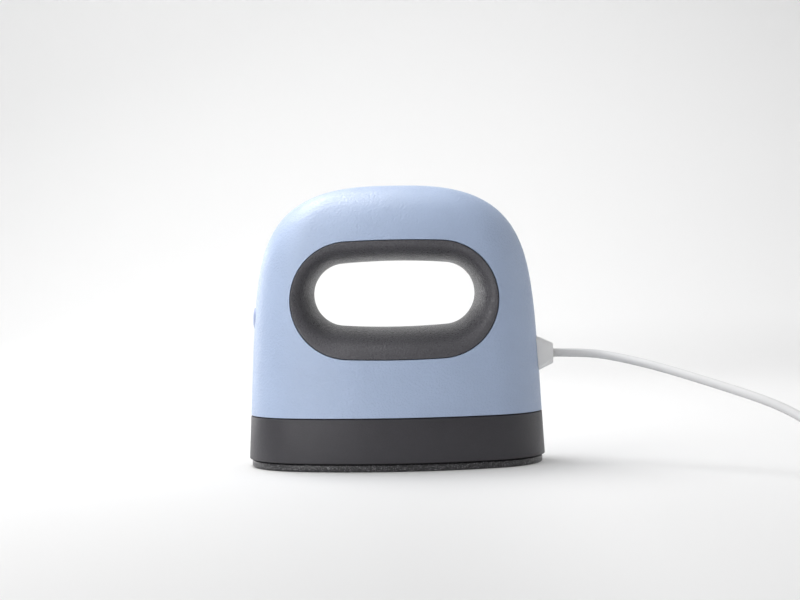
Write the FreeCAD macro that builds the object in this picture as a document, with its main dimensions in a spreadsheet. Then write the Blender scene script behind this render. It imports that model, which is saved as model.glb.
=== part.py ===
# Mini handheld heat press, modelled in millimetres.
#
# The origin is the middle of the heating face, on the surface that the press rests on.  +X points
# to the end that the mains cord leaves, +Y to the rear and +Z up.
import FreeCAD, Part
import math
import os
import re

import Sketcher

SIZES = {
    # Outer form.  At height z its plan is an oval of half length
    # (shell_half_length - length_lean z) (1 - (z / shell_height) ^ length_power) ^ (1 / length_round),
    # and its half width follows the same rule.
    "shell_height": 108.4,
    "shell_half_length": 57.85,
    "length_lean": 0.052,
    "length_power": 7.0,
    "length_round": 2.75,
    "shell_half_width": 34.9,
    "width_lean": 0.045,
    "width_power": 4.5,
    "width_round": 2.3,
    "plan_share": 0.84,
    "shell_wall": 2.4,
    "shell_bottom": 20.2,
    "half_wall": 1.2,
    # How far a cutting tool reaches past the face that it starts from.
    "cut_excess": 1.0,
    # Grip tunnel: its rim lies flush in the shell and rolls in to the throat.
    "rim_half_length": 39.5,
    "rim_half_height": 22.4,
    "rim_centre": 64.3,
    "rim_gap": 0.15,
    "throat_half_length": 31.5,
    "throat_half_height": 13.0,
    "throat_centre": 66.2,
    "throat_share": 0.94,
    "rim_share": 0.985,
    "lip_depth_end": 20.0,
    "lip_depth_low": 27.0,
    "lip_depth_high": 20.0,
    "mouth_end": 37.0,
    "grip_wall": 2.4,
    "flange_thickness": 1.8,
    "flange_reach": 3.2,
    "flange_overlap": 2.5,
    "tunnel_reach": 50.0,
    # Skirt, with the web that carries the plate and the board.
    "skirt_bottom": 3.2,
    "skirt_top": 19.8,
    "skirt_wall": 2.2,
    "web_bottom": 17.0,
    "web_top": 19.0,
    "spigot_top": 22.4,
    "spigot_wall": 1.3,
    "spigot_gap": 0.15,
    # Heat plate.
    "plate_half_length": 56.65,
    "plate_half_width": 33.75,
    "plate_thickness": 2.8,
    "plate_edge": 0.7,
    "block_half_length": 51.0,
    "block_half_width": 28.8,
    "block_top": 7.0,
    "seal_outer_inset": 1.6,
    "seal_width": 2.2,
    # Heating element, a tube bent into a U.
    "element_radius": 3.2,
    "element_clearance": 0.1,
    "element_height": 7.4,
    "element_leg": 11.0,
    "element_open_end": -27.0,
    "element_bend_centre": 26.0,
    "groove_open_end": -56.0,
    "terminal_radius": 1.1,
    "terminal_end": -33.0,
    "sleeve_radius": 1.7,
    "sleeve_start": -30.0,
    "sleeve_end": -35.0,
    # Plate screws, with their spacers and the columns of the web that they pull on.
    "plate_screw_x": 42.0,
    "plate_screw_y": 17.0,
    "plate_screw_head_radius": 2.7,
    "plate_screw_head_height": 1.8,
    "plate_screw_shank_radius": 1.45,
    "plate_screw_shank_length": 15.4,
    "plate_hole_radius": 1.5,
    "plate_hole_bottom": 3.4,
    "column_radius": 3.0,
    "column_bottom": 9.0,
    "column_clearance": 0.6,
    # Heat shield and insulation between the plate and the web.
    "shield_half_length": 50.0,
    "shield_half_width": 28.0,
    "shield_bottom": 11.6,
    "shield_thickness": 0.6,
    "shield_rim_bottom": 9.8,
    "pad_inset": 1.0,
    "pad_top": 16.5,
    "slot_centre": -37.6,
    "slot_half_width": 2.0,
    "slot_half_length": 13.2,
    "lead_hole_radius": 1.8,
    # Sensor and thermal fuse, strapped to the block.
    "sensor_x": -10.0,
    "sensor_radius": 1.4,
    "sensor_half_length": 5.0,
    "sensor_nose_length": 1.5,
    "sensor_lead_spacing": 0.64,
    "sensor_lead_radius": 0.4,
    "fuse_x": 10.0,
    "fuse_radius": 1.9,
    "fuse_half_length": 5.2,
    "fuse_end_radius": 1.2,
    "fuse_end_length": 1.0,
    "lead_hole_offset": 1.8,
    "clip_thickness": 0.5,
    "clip_half_width": 2.2,
    "clip_foot": 6.5,
    "clip_screw_head_radius": 2.0,
    "clip_screw_head_height": 1.3,
    "clip_screw_shank_radius": 1.2,
    "clip_screw_shank_length": 3.4,
    "clip_hole_bottom": 3.8,
    # Screws that pull the skirt up against the shells.
    "skirt_screw_x": 20.0,
    "skirt_screw_y": 25.2,
    "skirt_screw_head_radius": 2.4,
    "skirt_screw_head_height": 1.6,
    "skirt_recess_gap": 0.2,
    "skirt_screw_shank_radius": 1.3,
    "skirt_screw_shank_length": 11.0,
    "skirt_hole_radius": 1.4,
    "skirt_boss_radius": 3.0,
    "skirt_boss_bottom": 19.2,
    "skirt_boss_top": 33.0,
    "skirt_hole_top": 30.5,
    "skirt_rib_half_width": 0.8,
    "skirt_rib_bottom": 23.0,
    # Screws that join the two shells, in counterbores from the rear.
    "low_screw_x": 44.0,
    "low_screw_z": 29.5,
    "high_screw_x": 30.0,
    "high_screw_z": 94.5,
    "shell_screw_seat": 7.0,
    "shell_screw_head_radius": 2.8,
    "shell_screw_head_height": 2.0,
    "shell_screw_shank_radius": 1.45,
    "shell_screw_shank_length": 16.0,
    "shell_hole_radius": 1.5,
    "shell_hole_depth": 10.5,
    "shell_boss_radius": 3.2,
    "counterbore_radius": 3.3,
    "counterbore_boss_radius": 4.6,
    "boss_reach": 33.0,
    # Main board and what stands on it.
    "board_half_length": 36.0,
    "board_half_width": 21.0,
    "board_bottom": 25.0,
    "board_top": 26.6,
    "board_corner": 5.0,
    "board_screw_x": 31.0,
    "board_screw_y": 17.0,
    "board_screw_head_radius": 2.2,
    "board_screw_head_height": 1.5,
    "board_screw_shank_radius": 1.2,
    "board_screw_shank_length": 5.0,
    "standoff_radius": 2.6,
    "standoff_hole_radius": 1.3,
    "inlet_block_left": 21.0,
    "inlet_block_right": 30.0,
    "inlet_block_half_width": 8.5,
    "inlet_block_top": 37.0,
    "inlet_pole_y": 4.0,
    "inlet_port_radius": 1.6,
    "inlet_port_depth": 4.0,
    "inlet_lead_entry": 3.0,
    "heater_block_left": -33.5,
    "heater_block_right": -26.5,
    "heater_block_half_width": 13.0,
    "heater_block_top": 35.0,
    "heater_port_z": 31.0,
    "heater_port_depth": 3.0,
    "heater_lead_entry": 2.0,
    "tube_fuse_x": 15.0,
    "tube_fuse_z": 31.4,
    "tube_fuse_radius": 2.6,
    "tube_fuse_half_length": 10.0,
    "tube_fuse_cap_length": 5.0,
    "fuse_clip_wall": 0.5,
    "fuse_clip_half_width": 2.2,
    "fuse_holder_rise": 1.5,
    "fuse_holder_lip": 0.4,
    "fuse_holder_mouth": 4.0,
    "filter_left": 4.0,
    "filter_right": 10.0,
    "filter_front": -8.0,
    "filter_rear": 10.0,
    "filter_top": 38.6,
    "relay_left": -16.0,
    "relay_right": -1.0,
    "relay_front": -1.0,
    "relay_rear": 18.0,
    "relay_top": 41.6,
    "supply_left": -14.5,
    "supply_right": -1.5,
    "supply_front": -18.0,
    "supply_rear": -4.0,
    "supply_top": 36.6,
    "smoothing_x": -20.5,
    "smoothing_y": -10.5,
    "smoothing_radius": 4.0,
    "smoothing_top": 39.0,
    "chip_left": 2.0,
    "chip_right": 12.0,
    "chip_front": -17.0,
    "chip_rear": -13.0,
    "chip_bottom": 26.9,
    "chip_top": 28.5,
    "chip_leg_reach": 1.0,
    "chip_leg_width": 0.45,
    "chip_leg_pitch": 1.27,
    "chip_leg_inset": 1.19,
    "header_x": -20.5,
    "header_y": 9.0,
    "header_half_length": 3.0,
    "header_half_width": 5.0,
    "header_top": 31.0,
    # Control board behind the button, its bracket and what it carries.
    "control_left": -43.0,
    "control_right": -41.4,
    "control_half_width": 9.0,
    "control_bottom": 44.0,
    "control_top": 70.0,
    "bracket_thickness": 1.4,
    "bracket_bottom": 46.0,
    "bracket_top": 68.0,
    "bracket_front": -9.0,
    "bracket_rear": 11.5,
    "bracket_left": -47.7,
    "bracket_screw_x": -45.7,
    "bracket_screw_low": 50.0,
    "bracket_screw_high": 64.0,
    "bracket_screw_head_radius": 2.0,
    "bracket_screw_head_height": 1.4,
    "bracket_screw_shank_radius": 1.1,
    "bracket_screw_shank_length": 5.4,
    "bracket_hole_radius": 1.2,
    "bracket_boss_radius": 2.5,
    "bracket_hole_end": 16.0,
    "control_screw_y": 6.2,
    "control_screw_z": 66.0,
    "control_screw_head_radius": 1.6,
    "control_screw_head_height": 1.0,
    "control_screw_shank_radius": 0.95,
    "control_screw_shank_length": 2.8,
    "control_hole_radius": 1.0,
    "socket_left": -47.0,
    "socket_half_width": 3.5,
    "socket_bottom": 45.0,
    "socket_top": 49.0,
    "indicator_half_spacing": 5.0,
    "indicator_half_width": 0.8,
    "indicator_height": 1.0,
    # Button and the tact switch that it works.
    "button_height": 57.2,
    "button_radius": 4.6,
    "button_hole_radius": 4.85,
    "button_tip": -55.5,
    "button_dome_radius": 13.0,
    "button_skirt_start": -51.2,
    "button_skirt_end": -50.0,
    "button_skirt_radius": 6.2,
    "button_stem_radius": 1.8,
    "button_stem_end": -48.2,
    "switch_left": -46.5,
    "switch_half_width": 3.1,
    "plunger_radius": 1.6,
    "plunger_end": -46.1,
    "plunger_well_radius": 1.75,
    "plunger_well_end": -45.3,
    # Mains cord, its boot and what holds it inside.
    "cord_radius": 1.65,
    "cord_height": 42.0,
    "boot_tip": 61.5,
    "boot_root": 54.0,
    "boot_root_half_height": 7.3,
    "boot_root_half_width": 6.6,
    "boot_tip_half_height": 3.9,
    "boot_tip_half_width": 3.5,
    "boot_bevel": 1.3,
    "boot_neck_half_height": 5.2,
    "boot_neck_half_width": 4.4,
    "boot_neck_end": 57.0,
    "boot_hole_half_height": 5.3,
    "boot_hole_half_width": 4.5,
    "boot_flange_left": 50.3,
    "boot_flange_right": 51.8,
    "boot_flange_half_height": 7.4,
    "boot_flange_half_width": 6.4,
    "boot_sleeve_end": 41.0,
    "boot_sleeve_radius": 3.8,
    "boot_sleeve_tip_radius": 2.7,
    "crimp_start": 37.2,
    "crimp_radius": 2.9,
    "tail_start": 35.2,
    "lead_radius": 0.75,
    "lead_spacing": 0.8,
    "lead_straight": 3.0,
    "lead_sag_shift": 1.0,
    "lead_sag_rise": 0.3,
    "heater_lead_radius": 0.9,
    "signal_lead_radius": 0.5,
    "ribbon_pitch": 1.05,
    "ribbon_start_offset": 1.0,
    "ribbon_rise": 7.0,
    "ribbon_bend_x": -33.0,
    "ribbon_bend_y": 5.0,
    "ribbon_bend_z": 40.0,
    "ribbon_end_x": -45.0,
    "ribbon_low_z": 38.5,
    # Coil of the put-away length, its tie and the plug.
    "coil_radius": 19.8,
    "coil_x": 190.3,
    "coil_y": -102.3,
    "coil_lift": 0.5,
    "coil_columns": 3,
    "coil_layers": 4,
    "coil_pitch": 3.35,
    "coil_corner": 1.6,
    "tie_inner": 14.35,
    "tie_outer": 24.95,
    "tie_wall": 0.5,
    "tie_half_width": 3.5,
    "tie_azimuth": 60.0,
    "plug_x": 218.0,
    "plug_y": -48.0,
    "plug_axis_height": 6.5,
    "plug_half_width": 12.0,
    "plug_length": 26.0,
    "plug_relief_length": 18.0,
    "plug_relief_radius": 2.6,
    "plug_relief_root_radius": 4.4,
    "plug_corner": 3.0,
    "plug_face_inset": 1.2,
    "blade_spacing": 12.7,
    "blade_thickness": 1.5,
    "blade_half_height": 3.175,
    "blade_length": 16.0,
    "blade_root": 4.0,
}

# Shares of the height above the seam at which the outer form's ovals lie, closer towards the crown.
SECTION_SHARES = (0.0, 0.16, 0.34, 0.5, 0.635, 0.745, 0.83, 0.9, 0.95, 0.98, 0.994, 0.9992)

# Corners of the ring of fixings in plan, as signs of x and y.
CORNERS = ((1, 1), (-1, 1), (-1, -1), (1, -1))
SIDES = (-1, 1)

# Route of the cord from the boot's tip to the coil, which it enters on its bottom layer.
CORD_ROUTE = (
    (61.5, 0.0, 42.0),
    (75.0, 0.0, 42.0),
    (87.5, -8.5, 39.9),
    (101.0, -23.5, 36.6),
    (118.0, -44.5, 31.2),
    (136.5, -71.5, 24.8),
    (148.0, -91.0, 16.0),
    (158.0, -106.5, 5.6),
    (167.0, -115.2, 2.15),
    (178.0, -122.0, 2.15),
)

# Route of the cord from the coil's top layer to the plug's strain relief.
PLUG_ROUTE = (
    (178.0, -122.0, 12.05),
    (187.5, -127.9, 12.05),
    (198.5, -130.9, 8.6),
    (209.8, -128.9, 3.8),
    (218.3, -121.2, 1.75),
    (222.7, -109.7, 1.7),
    (223.2, -94.7, 1.8),
    (221.4, -78.5, 3.4),
    (218.0, -63.0, 6.5),
    (218.0, -48.0, 6.5),
)

# Share of the shorter neighbouring run that an arc of a route takes from it.
ARC_SHARE = 0.45

# Share of its quarter round at which a mouth's flare goes on in a straight line.
FLARE_LIMIT = 0.97
TUNNEL_STEPS = 27

# Half length and half width of a screw's cross slot, as shares of the head's radius.
SLOT_SHARES = (0.6, 0.12)

CHIP_LEGS = 7
RIBBON_WIRES = 5

# How far a swept tube's volume may be from its section times its length, as a share.
VOLUME_TOLERANCE = 0.01
ALIAS = re.compile(r"[a-z]+(?:_[a-z]+)+")
UP = FreeCAD.Vector(0, 0, 1)

document = FreeCAD.newDocument("HeatPress")
sheet = document.addObject("Spreadsheet::Sheet", "Sizes")
pieces = []


# ---------------------------------------------------------------------------------------------
# The sheet and expressions on it


def fill_sheet():
    """Writes every driving size into the sheet under its own alias."""
    for row, (alias, size) in enumerate(SIZES.items(), start=1):
        sheet.set(f"A{row}", alias)
        sheet.set(f"B{row}", str(size))
        sheet.setAlias(f"B{row}", alias)
    document.recompute()


def sized(text):
    """Returns an expression in which each size is written as the sheet's cell."""

    def cell(match):
        word = match.group()
        return f"Sizes.{word}" if word in SIZES else word

    return ALIAS.sub(cell, text)


def size(text):
    """Returns the number that an expression on the sizes has now."""
    result = sheet.evalExpression(sized(text))
    return float(getattr(result, "Value", result))


def bind(feature, path, text):
    """Binds one property of a feature to an expression on the sizes."""
    feature.setExpression(path, sized(text))


def bind_position(feature, path, place):
    """Binds the x, y and z of a placement's base."""
    for axis, text in zip("xyz", place):
        if text != "0":
            bind(feature, f"{path}.Base.{axis}", text)


def keep(label, feature):
    """Names a finished sub-part and puts it on the list of what is written."""
    feature.Label = label
    pieces.append(feature)
    return feature


# ---------------------------------------------------------------------------------------------
# Sketches


def attach(sketch, body, plane, place):
    """Lays a sketch on one of its body's origin planes, moved by place in the plane's own axes."""
    support = next(item for item in body.Origin.OriginFeatures if item.Role == plane)
    sketch.AttachmentSupport = [(support, "")]
    sketch.MapMode = "FlatFace"
    bind_position(sketch, "AttachmentOffset", place)


def body_sketch(body, name, plane, place=("0", "0", "0")):
    """Adds a sketch to a body on one of the body's planes."""
    sketch = body.newObject("Sketcher::SketchObject", name)
    attach(sketch, body, plane, place)
    return sketch


def drive(sketch, constraint, name, text):
    """Adds a dimension to a sketch and binds it to an expression."""
    index = sketch.addConstraint(constraint)
    sketch.renameConstraint(index, name)
    bind(sketch, f"Constraints.{name}", text)


def add_rectangle(sketch, width, height):
    """Draws a rectangle about the sketch's origin."""
    across = size(width) / 2
    up = size(height) / 2
    corners = [(-across, -up), (across, -up), (across, up), (-across, up)]
    points = [FreeCAD.Vector(x, y, 0) for x, y in corners]
    first = sketch.GeometryCount
    lines = [Part.LineSegment(points[i], points[(i + 1) % 4]) for i in range(4)]
    sketch.addGeometry(lines, False)
    for i in range(4):
        sketch.addConstraint(Sketcher.Constraint("Coincident", first + i, 2, first + (i + 1) % 4, 1))
    for i in (0, 2):
        sketch.addConstraint(Sketcher.Constraint("Horizontal", first + i))
        sketch.addConstraint(Sketcher.Constraint("Vertical", first + i + 1))
    sketch.addConstraint(Sketcher.Constraint("Symmetric", first, 1, first + 2, 1, -1, 1))
    wide = Sketcher.Constraint("DistanceX", first, 1, first, 2, 2 * across)
    drive(sketch, wide, f"width_{first}", width)
    high = Sketcher.Constraint("DistanceY", first + 1, 1, first + 1, 2, 2 * up)
    drive(sketch, high, f"height_{first}", height)


def add_circle(sketch, radius, across="0", up="0"):
    """Draws a circle whose centre stands at the given place in the sketch."""
    centre = FreeCAD.Vector(size(across), size(up), 0)
    index = sketch.addGeometry(Part.Circle(centre, UP, size(radius)), False)
    round_size = Sketcher.Constraint("Radius", index, size(radius))
    drive(sketch, round_size, f"radius_{index}", radius)
    if across == "0" and up == "0":
        sketch.addConstraint(Sketcher.Constraint("Coincident", index, 3, -1, 1))
        return
    to_side = Sketcher.Constraint("DistanceX", -1, 1, index, 3, centre.x)
    drive(sketch, to_side, f"across_{index}", across)
    to_top = Sketcher.Constraint("DistanceY", -1, 1, index, 3, centre.y)
    drive(sketch, to_top, f"up_{index}", up)


def add_oval(sketch, half_length, half_width, share):
    """Draws an oval of four tangent arcs: its end arcs' radius is share of the half width."""
    end_radius = f"({share}) * ({half_width})"
    end_centre = f"({half_length}) - ({share}) * ({half_width})"
    side_radius = (
        f"((({end_centre}) ^ 2 + ({half_width}) ^ 2 * (1 - ({share}) ^ 2))"
        f" / (2 * ({half_width}) * (1 - ({share}))))"
    )
    end = size(end_radius)
    centre = size(end_centre)
    side = size(side_radius)
    drop = side - size(half_width)
    turn = math.atan2(drop, centre)
    arcs = (
        (centre, 0, end, -turn, turn),
        (0, -drop, side, turn, math.pi - turn),
        (-centre, 0, end, math.pi - turn, math.pi + turn),
        (0, drop, side, math.pi + turn, 2 * math.pi - turn),
    )
    first = sketch.GeometryCount
    for x, y, radius, begin, finish in arcs:
        circle = Part.Circle(FreeCAD.Vector(x, y, 0), UP, radius)
        sketch.addGeometry(Part.ArcOfCircle(circle, begin, finish), False)
    right, top, left, bottom = range(first, first + 4)
    constraints = (
        ("Tangent", right, 2, top, 1),
        ("Coincident", top, 2, left, 1),
        ("Coincident", left, 2, bottom, 1),
        ("Coincident", bottom, 2, right, 1),
        ("Symmetric", top, 1, top, 2, -2),
        ("Symmetric", left, 1, left, 2, -1),
        ("Symmetric", bottom, 1, bottom, 2, -2),
        ("Equal", right, left),
        ("Equal", top, bottom),
    )
    for constraint in constraints:
        sketch.addConstraint(Sketcher.Constraint(*constraint))
    drive(sketch, Sketcher.Constraint("Radius", right, end), f"end_{first}", end_radius)
    drive(sketch, Sketcher.Constraint("Radius", top, side), f"side_{first}", side_radius)
    reach = Sketcher.Constraint("DistanceX", -1, 1, right, 3, centre)
    drive(sketch, reach, f"centre_{first}", end_centre)


# ---------------------------------------------------------------------------------------------
# Bodies and their features


def new_body(label):
    """Adds a body for one sub-part."""
    return keep(label, document.addObject("PartDesign::Body", label))


def pad(body, sketch, length, reversed_way=False):
    """Pads a sketch by length along its normal."""
    feature = body.newObject("PartDesign::Pad", f"{sketch.Name}_pad")
    feature.Profile = sketch
    feature.Reversed = reversed_way
    bind(feature, "Length", length)
    document.recompute()
    return feature


def pocket(body, sketch, length, reversed_way=False):
    """Cuts a sketch by length against its normal, and checks that material went."""
    before = body.Shape.Volume
    feature = body.newObject("PartDesign::Pocket", f"{sketch.Name}_pocket")
    feature.Profile = sketch
    feature.Reversed = reversed_way
    bind(feature, "Length", length)
    document.recompute()
    if body.Shape.Volume >= before:
        raise RuntimeError(f"{feature.Name} cuts nothing")
    return feature


def padded_oval(body, name, oval, z_range, share="plan_share"):
    """Pads an oval between two heights."""
    low, high = z_range
    sketch = body_sketch(body, name, "XY_Plane", ("0", "0", low))
    add_oval(sketch, *oval, share)
    return pad(body, sketch, f"{high} - ({low})")


def at_corners(sketch, radius, x, y):
    """Draws four equal circles at the corners of a rectangle about the sketch's origin."""
    for x_sign, y_sign in CORNERS:
        add_circle(sketch, radius, f"{x_sign} * {x}", f"{y_sign} * {y}")


def in_pairs(sketch, radius, x, y):
    """Draws two equal circles at one x, on both sides of the middle."""
    for side in SIDES:
        add_circle(sketch, radius, x, f"{side} * {y}")


# ---------------------------------------------------------------------------------------------
# Primitives and booleans


def block(name, x_range, y_range, z_range):
    """Makes a box from its lower and upper bound on each axis."""
    feature = document.addObject("Part::Box", name)
    for extent, (low, high) in zip(("Length", "Width", "Height"), (x_range, y_range, z_range)):
        bind(feature, extent, f"({high}) - ({low})")
    bind_position(feature, "Placement", (x_range[0], y_range[0], z_range[0]))
    return feature


def rod(name, axis, radius, start, end, across):
    """Makes a cylinder along an axis between two places on it; across holds the other two."""
    feature = document.addObject("Part::Cylinder", name)
    bind(feature, "Radius", radius)
    bind(feature, "Height", f"({end}) - ({start})")
    set_along(feature, axis, start, across)
    return feature


def cone(name, axis, radii, start, end, across):
    """Makes a cone along an axis, with its radius at the start and at the end."""
    feature = document.addObject("Part::Cone", name)
    bind(feature, "Radius1", radii[0])
    bind(feature, "Radius2", radii[1])
    bind(feature, "Height", f"({end}) - ({start})")
    set_along(feature, axis, start, across)
    return feature


def set_along(feature, axis, start, across):
    """Turns a primitive that stands on z along another axis and puts its foot at start."""
    turns = {
        "x": FreeCAD.Rotation(FreeCAD.Vector(0, 1, 0), 90),
        "y": FreeCAD.Rotation(FreeCAD.Vector(1, 0, 0), -90),
        "z": FreeCAD.Rotation(),
    }
    places = {
        "x": (start, across[0], across[1]),
        "y": (across[0], start, across[1]),
        "z": (across[0], across[1], start),
    }
    feature.Placement = FreeCAD.Placement(FreeCAD.Vector(), turns[axis])
    bind_position(feature, "Placement", places[axis])


def fuse(name, parts):
    """Fuses several features into one."""
    feature = document.addObject("Part::MultiFuse", name)
    feature.Shapes = parts
    return feature


def cut(name, base, tools):
    """Cuts one or more tools out of a base."""
    feature = document.addObject("Part::Cut", name)
    feature.Base = base
    feature.Tool = tools[0] if len(tools) == 1 else fuse(f"{name}_tools", tools)
    return feature


def common(name, base, tool):
    """Keeps what two features share."""
    feature = document.addObject("Part::Common", name)
    feature.Base = base
    feature.Tool = tool
    return feature


def group(name, parts):
    """Holds separate solids together as one sub-part."""
    feature = document.addObject("Part::Compound", name)
    feature.Links = parts
    return feature


def oval_prism(name, half_length, half_height, centre, share):
    """Makes a long prism along y whose section is an oval in the xz plane."""
    sketch = document.addObject("Sketcher::SketchObject", f"{name}_outline")
    sketch.Placement = FreeCAD.Placement(
        FreeCAD.Vector(), FreeCAD.Rotation(FreeCAD.Vector(1, 0, 0), 90)
    )
    bind(sketch, "Placement.Base.z", centre)
    add_oval(sketch, half_length, half_height, share)
    prism = document.addObject("Part::Extrusion", name)
    prism.Base = sketch
    prism.DirMode = "Normal"
    prism.Solid = True
    prism.Symmetric = True
    bind(prism, "LengthFwd", "2 * tunnel_reach")
    return prism


# ---------------------------------------------------------------------------------------------
# Outer form of the press and what is cut from it


def half_length_at(height, inset):
    """Returns the expression of the outer form's half length at a height, less an inset."""
    rise = f"(({height}) / (shell_height - ({inset})))"
    base = f"(shell_half_length - ({inset}) - length_lean * ({height}))"
    return f"({base} * (1 - {rise} ^ length_power) ^ (1 / length_round))"


def half_width_at(height, inset):
    """Returns the expression of the outer form's half width at a height, less an inset."""
    rise = f"(({height}) / (shell_height - ({inset})))"
    base = f"(shell_half_width - ({inset}) - width_lean * ({height}))"
    return f"({base} * (1 - {rise} ^ width_power) ^ (1 / width_round))"


def dome(name, inset, bottom):
    """Lofts the outer form, less an inset, from a bottom height to its crown."""
    sections = []
    for count, share in enumerate(SECTION_SHARES, start=1):
        height = f"(({bottom}) + {share} * (shell_height - ({inset}) - ({bottom})))"
        section = document.addObject("Sketcher::SketchObject", f"{name}_section_{count}")
        add_oval(
            section, half_length_at(height, inset), half_width_at(height, inset), "plan_share"
        )
        bind(section, "Placement.Base.z", height)
        sections.append(section)
    loft = document.addObject("Part::Loft", name)
    loft.Sections = sections
    loft.Solid = True
    return loft


def oval_wire(half_length, half_height, share, y, z):
    """Returns a closed wire of four tangent arcs about the y axis, in a plane of constant y.

    The end arcs' radius is a share of the half height.
    """
    end = share * half_height
    centre = half_length - end
    side = (centre ** 2 + half_height ** 2 - end ** 2) / (2 * (half_height - end))
    drop = side - half_height
    turn = math.atan2(drop, centre)
    arcs = (
        (centre, 0, end, -turn, turn),
        (0, -drop, side, turn, math.pi - turn),
        (-centre, 0, end, math.pi - turn, math.pi + turn),
        (0, drop, side, math.pi + turn, 2 * math.pi - turn),
    )
    edges = []
    for x, up, radius, begin, finish in arcs:
        circle = Part.Circle(FreeCAD.Vector(x, up, 0), UP, radius)
        edges.append(Part.ArcOfCircle(circle, begin, finish).toShape())
    wire = Part.Wire(edges)
    wire.rotate(FreeCAD.Vector(), FreeCAD.Vector(1, 0, 0), 90)
    wire.translate(FreeCAD.Vector(0, y, z))
    return wire


def flare(y, surface, depth, width, wall):
    """Returns how far a mouth has widened at y: a quarter round that ends at the surface.

    A wall thickens the lip inwards about the same centre.  Past the surface the mouth goes on
    widening in a straight line, clear of the form.
    """
    share = (y - surface + depth) / (depth - wall)
    if share <= 0:
        return 0.0
    bound = min(share, FLARE_LIMIT)
    root = math.sqrt(1 - bound ** 2)
    return (width - wall) * (1 - root + (share - bound) * bound / root)


def tunnel(name, wall_text):
    """Makes the tool that opens the grip tunnel: a throat that rolls out into two mouths."""
    wall = size(wall_text)
    low, high = size("rim_centre - rim_half_height"), size("rim_centre + rim_half_height")
    floor = size("throat_centre - throat_half_height")
    ceiling = size("throat_centre + throat_half_height")
    end_radius = size(f"plan_share * {half_width_at('rim_centre', '0')}")
    past_centre = size(f"rim_half_length - {half_length_at('rim_centre', '0')}") + end_radius
    surfaces = {
        "end": math.sqrt(end_radius ** 2 - past_centre ** 2),
        "low": size(half_width_at("rim_centre - rim_half_height", "0")),
        "high": size(half_width_at("rim_centre + rim_half_height", "0")),
    }
    widths = {
        "end": size("rim_half_length - throat_half_length"),
        "low": floor - low,
        "high": high - ceiling,
    }
    sections = []
    for step in range(TUNNEL_STEPS):
        y = size("mouth_end") * (2 * step / (TUNNEL_STEPS - 1) - 1)
        wider = {
            word: flare(abs(y), surfaces[word], size(f"lip_depth_{word}"), widths[word], wall)
            for word in surfaces
        }
        top = ceiling + wall + wider["high"]
        bottom = floor - wall - wider["low"]
        reach = size("throat_half_length") + wall + wider["end"]
        rolled = min(wider["end"] / (widths["end"] - wall), 1)
        share = size("throat_share") + rolled * size("rim_share - throat_share")
        middle = (top + bottom) / 2
        sections.append(oval_wire(reach, (top - bottom) / 2, share, y, middle))
    tool = document.addObject("Part::Feature", name)
    tool.Shape = Part.makeLoft(sections, True, False)
    tool.Placement = FreeCAD.Placement()
    return tool


def shell_bosses(name, side):
    """Makes the bosses of one shell, rough: side is -1 for the front and 1 for the rear."""
    bosses = []
    radius = "counterbore_boss_radius" if side > 0 else "shell_boss_radius"
    start, end = ("0", "boss_reach") if side > 0 else ("-boss_reach", "0")
    for row in ("low", "high"):
        for x_sign in SIDES:
            place = (f"{x_sign} * {row}_screw_x", f"{row}_screw_z")
            bosses.append(rod(f"{name}_{row}_{len(bosses)}", "y", radius, start, end, place))
    for x_sign in SIDES:
        x = f"{x_sign} * skirt_screw_x"
        y = f"{side} * skirt_screw_y"
        bosses.append(
            rod(
                f"{name}_post_{len(bosses)}",
                "z",
                "skirt_boss_radius",
                "spigot_top",
                "skirt_boss_top",
                (x, y),
            )
        )
        outer = (y, "boss_reach") if side > 0 else ("-boss_reach", y)
        rib_x = (f"{x} - skirt_rib_half_width", f"{x} + skirt_rib_half_width")
        rib_z = ("skirt_rib_bottom", "skirt_boss_top")
        bosses.append(block(f"{name}_rib_{len(bosses)}", rib_x, outer, rib_z))
    if side > 0:
        for level in ("low", "high"):
            place = ("bracket_screw_x", f"bracket_screw_{level}")
            bosses.append(
                rod(
                    f"{name}_bracket_{level}",
                    "y",
                    "bracket_boss_radius",
                    "bracket_rear",
                    "boss_reach",
                    place,
                )
            )
    return fuse(name, bosses)


def shell_holes(name, side):
    """Makes what is drilled from one shell: screw holes, the button's hole and the boot's."""
    holes = []
    for row in ("low", "high"):
        for x_sign in SIDES:
            place = (f"{x_sign} * {row}_screw_x", f"{row}_screw_z")
            start, end = "-shell_hole_depth", "cut_excess"
            if side > 0:
                start, end = "-cut_excess", "shell_screw_seat + cut_excess"
            holes.append(
                rod(f"{name}_{row}_{len(holes)}", "y", "shell_hole_radius", start, end, place)
            )
            if side > 0:
                holes.append(
                    rod(
                        f"{name}_bore_{len(holes)}",
                        "y",
                        "counterbore_radius",
                        "shell_screw_seat",
                        "tunnel_reach",
                        place,
                    )
                )
    for x_sign in SIDES:
        place = (f"{x_sign} * skirt_screw_x", f"{side} * skirt_screw_y")
        holes.append(
            rod(
                f"{name}_post_{len(holes)}",
                "z",
                "skirt_hole_radius",
                "spigot_top - cut_excess",
                "skirt_hole_top",
                place,
            )
        )
    if side > 0:
        for level in ("low", "high"):
            place = ("bracket_screw_x", f"bracket_screw_{level}")
            holes.append(
                rod(
                    f"{name}_bracket_{level}",
                    "y",
                    "bracket_hole_radius",
                    "bracket_rear - cut_excess",
                    "bracket_hole_end",
                    place,
                )
            )
    holes.append(
        rod(
            f"{name}_button",
            "x",
            "button_hole_radius",
            "-shell_half_length - 2 * cut_excess",
            "button_skirt_start",
            ("0", "button_height"),
        )
    )
    holes.append(
        block(
            f"{name}_boot",
            ("boot_flange_right - cut_excess", "shell_half_length"),
            ("-boot_hole_half_width", "boot_hole_half_width"),
            ("cord_height - boot_hole_half_height", "cord_height + boot_hole_half_height"),
        )
    )
    return fuse(name, holes)


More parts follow.
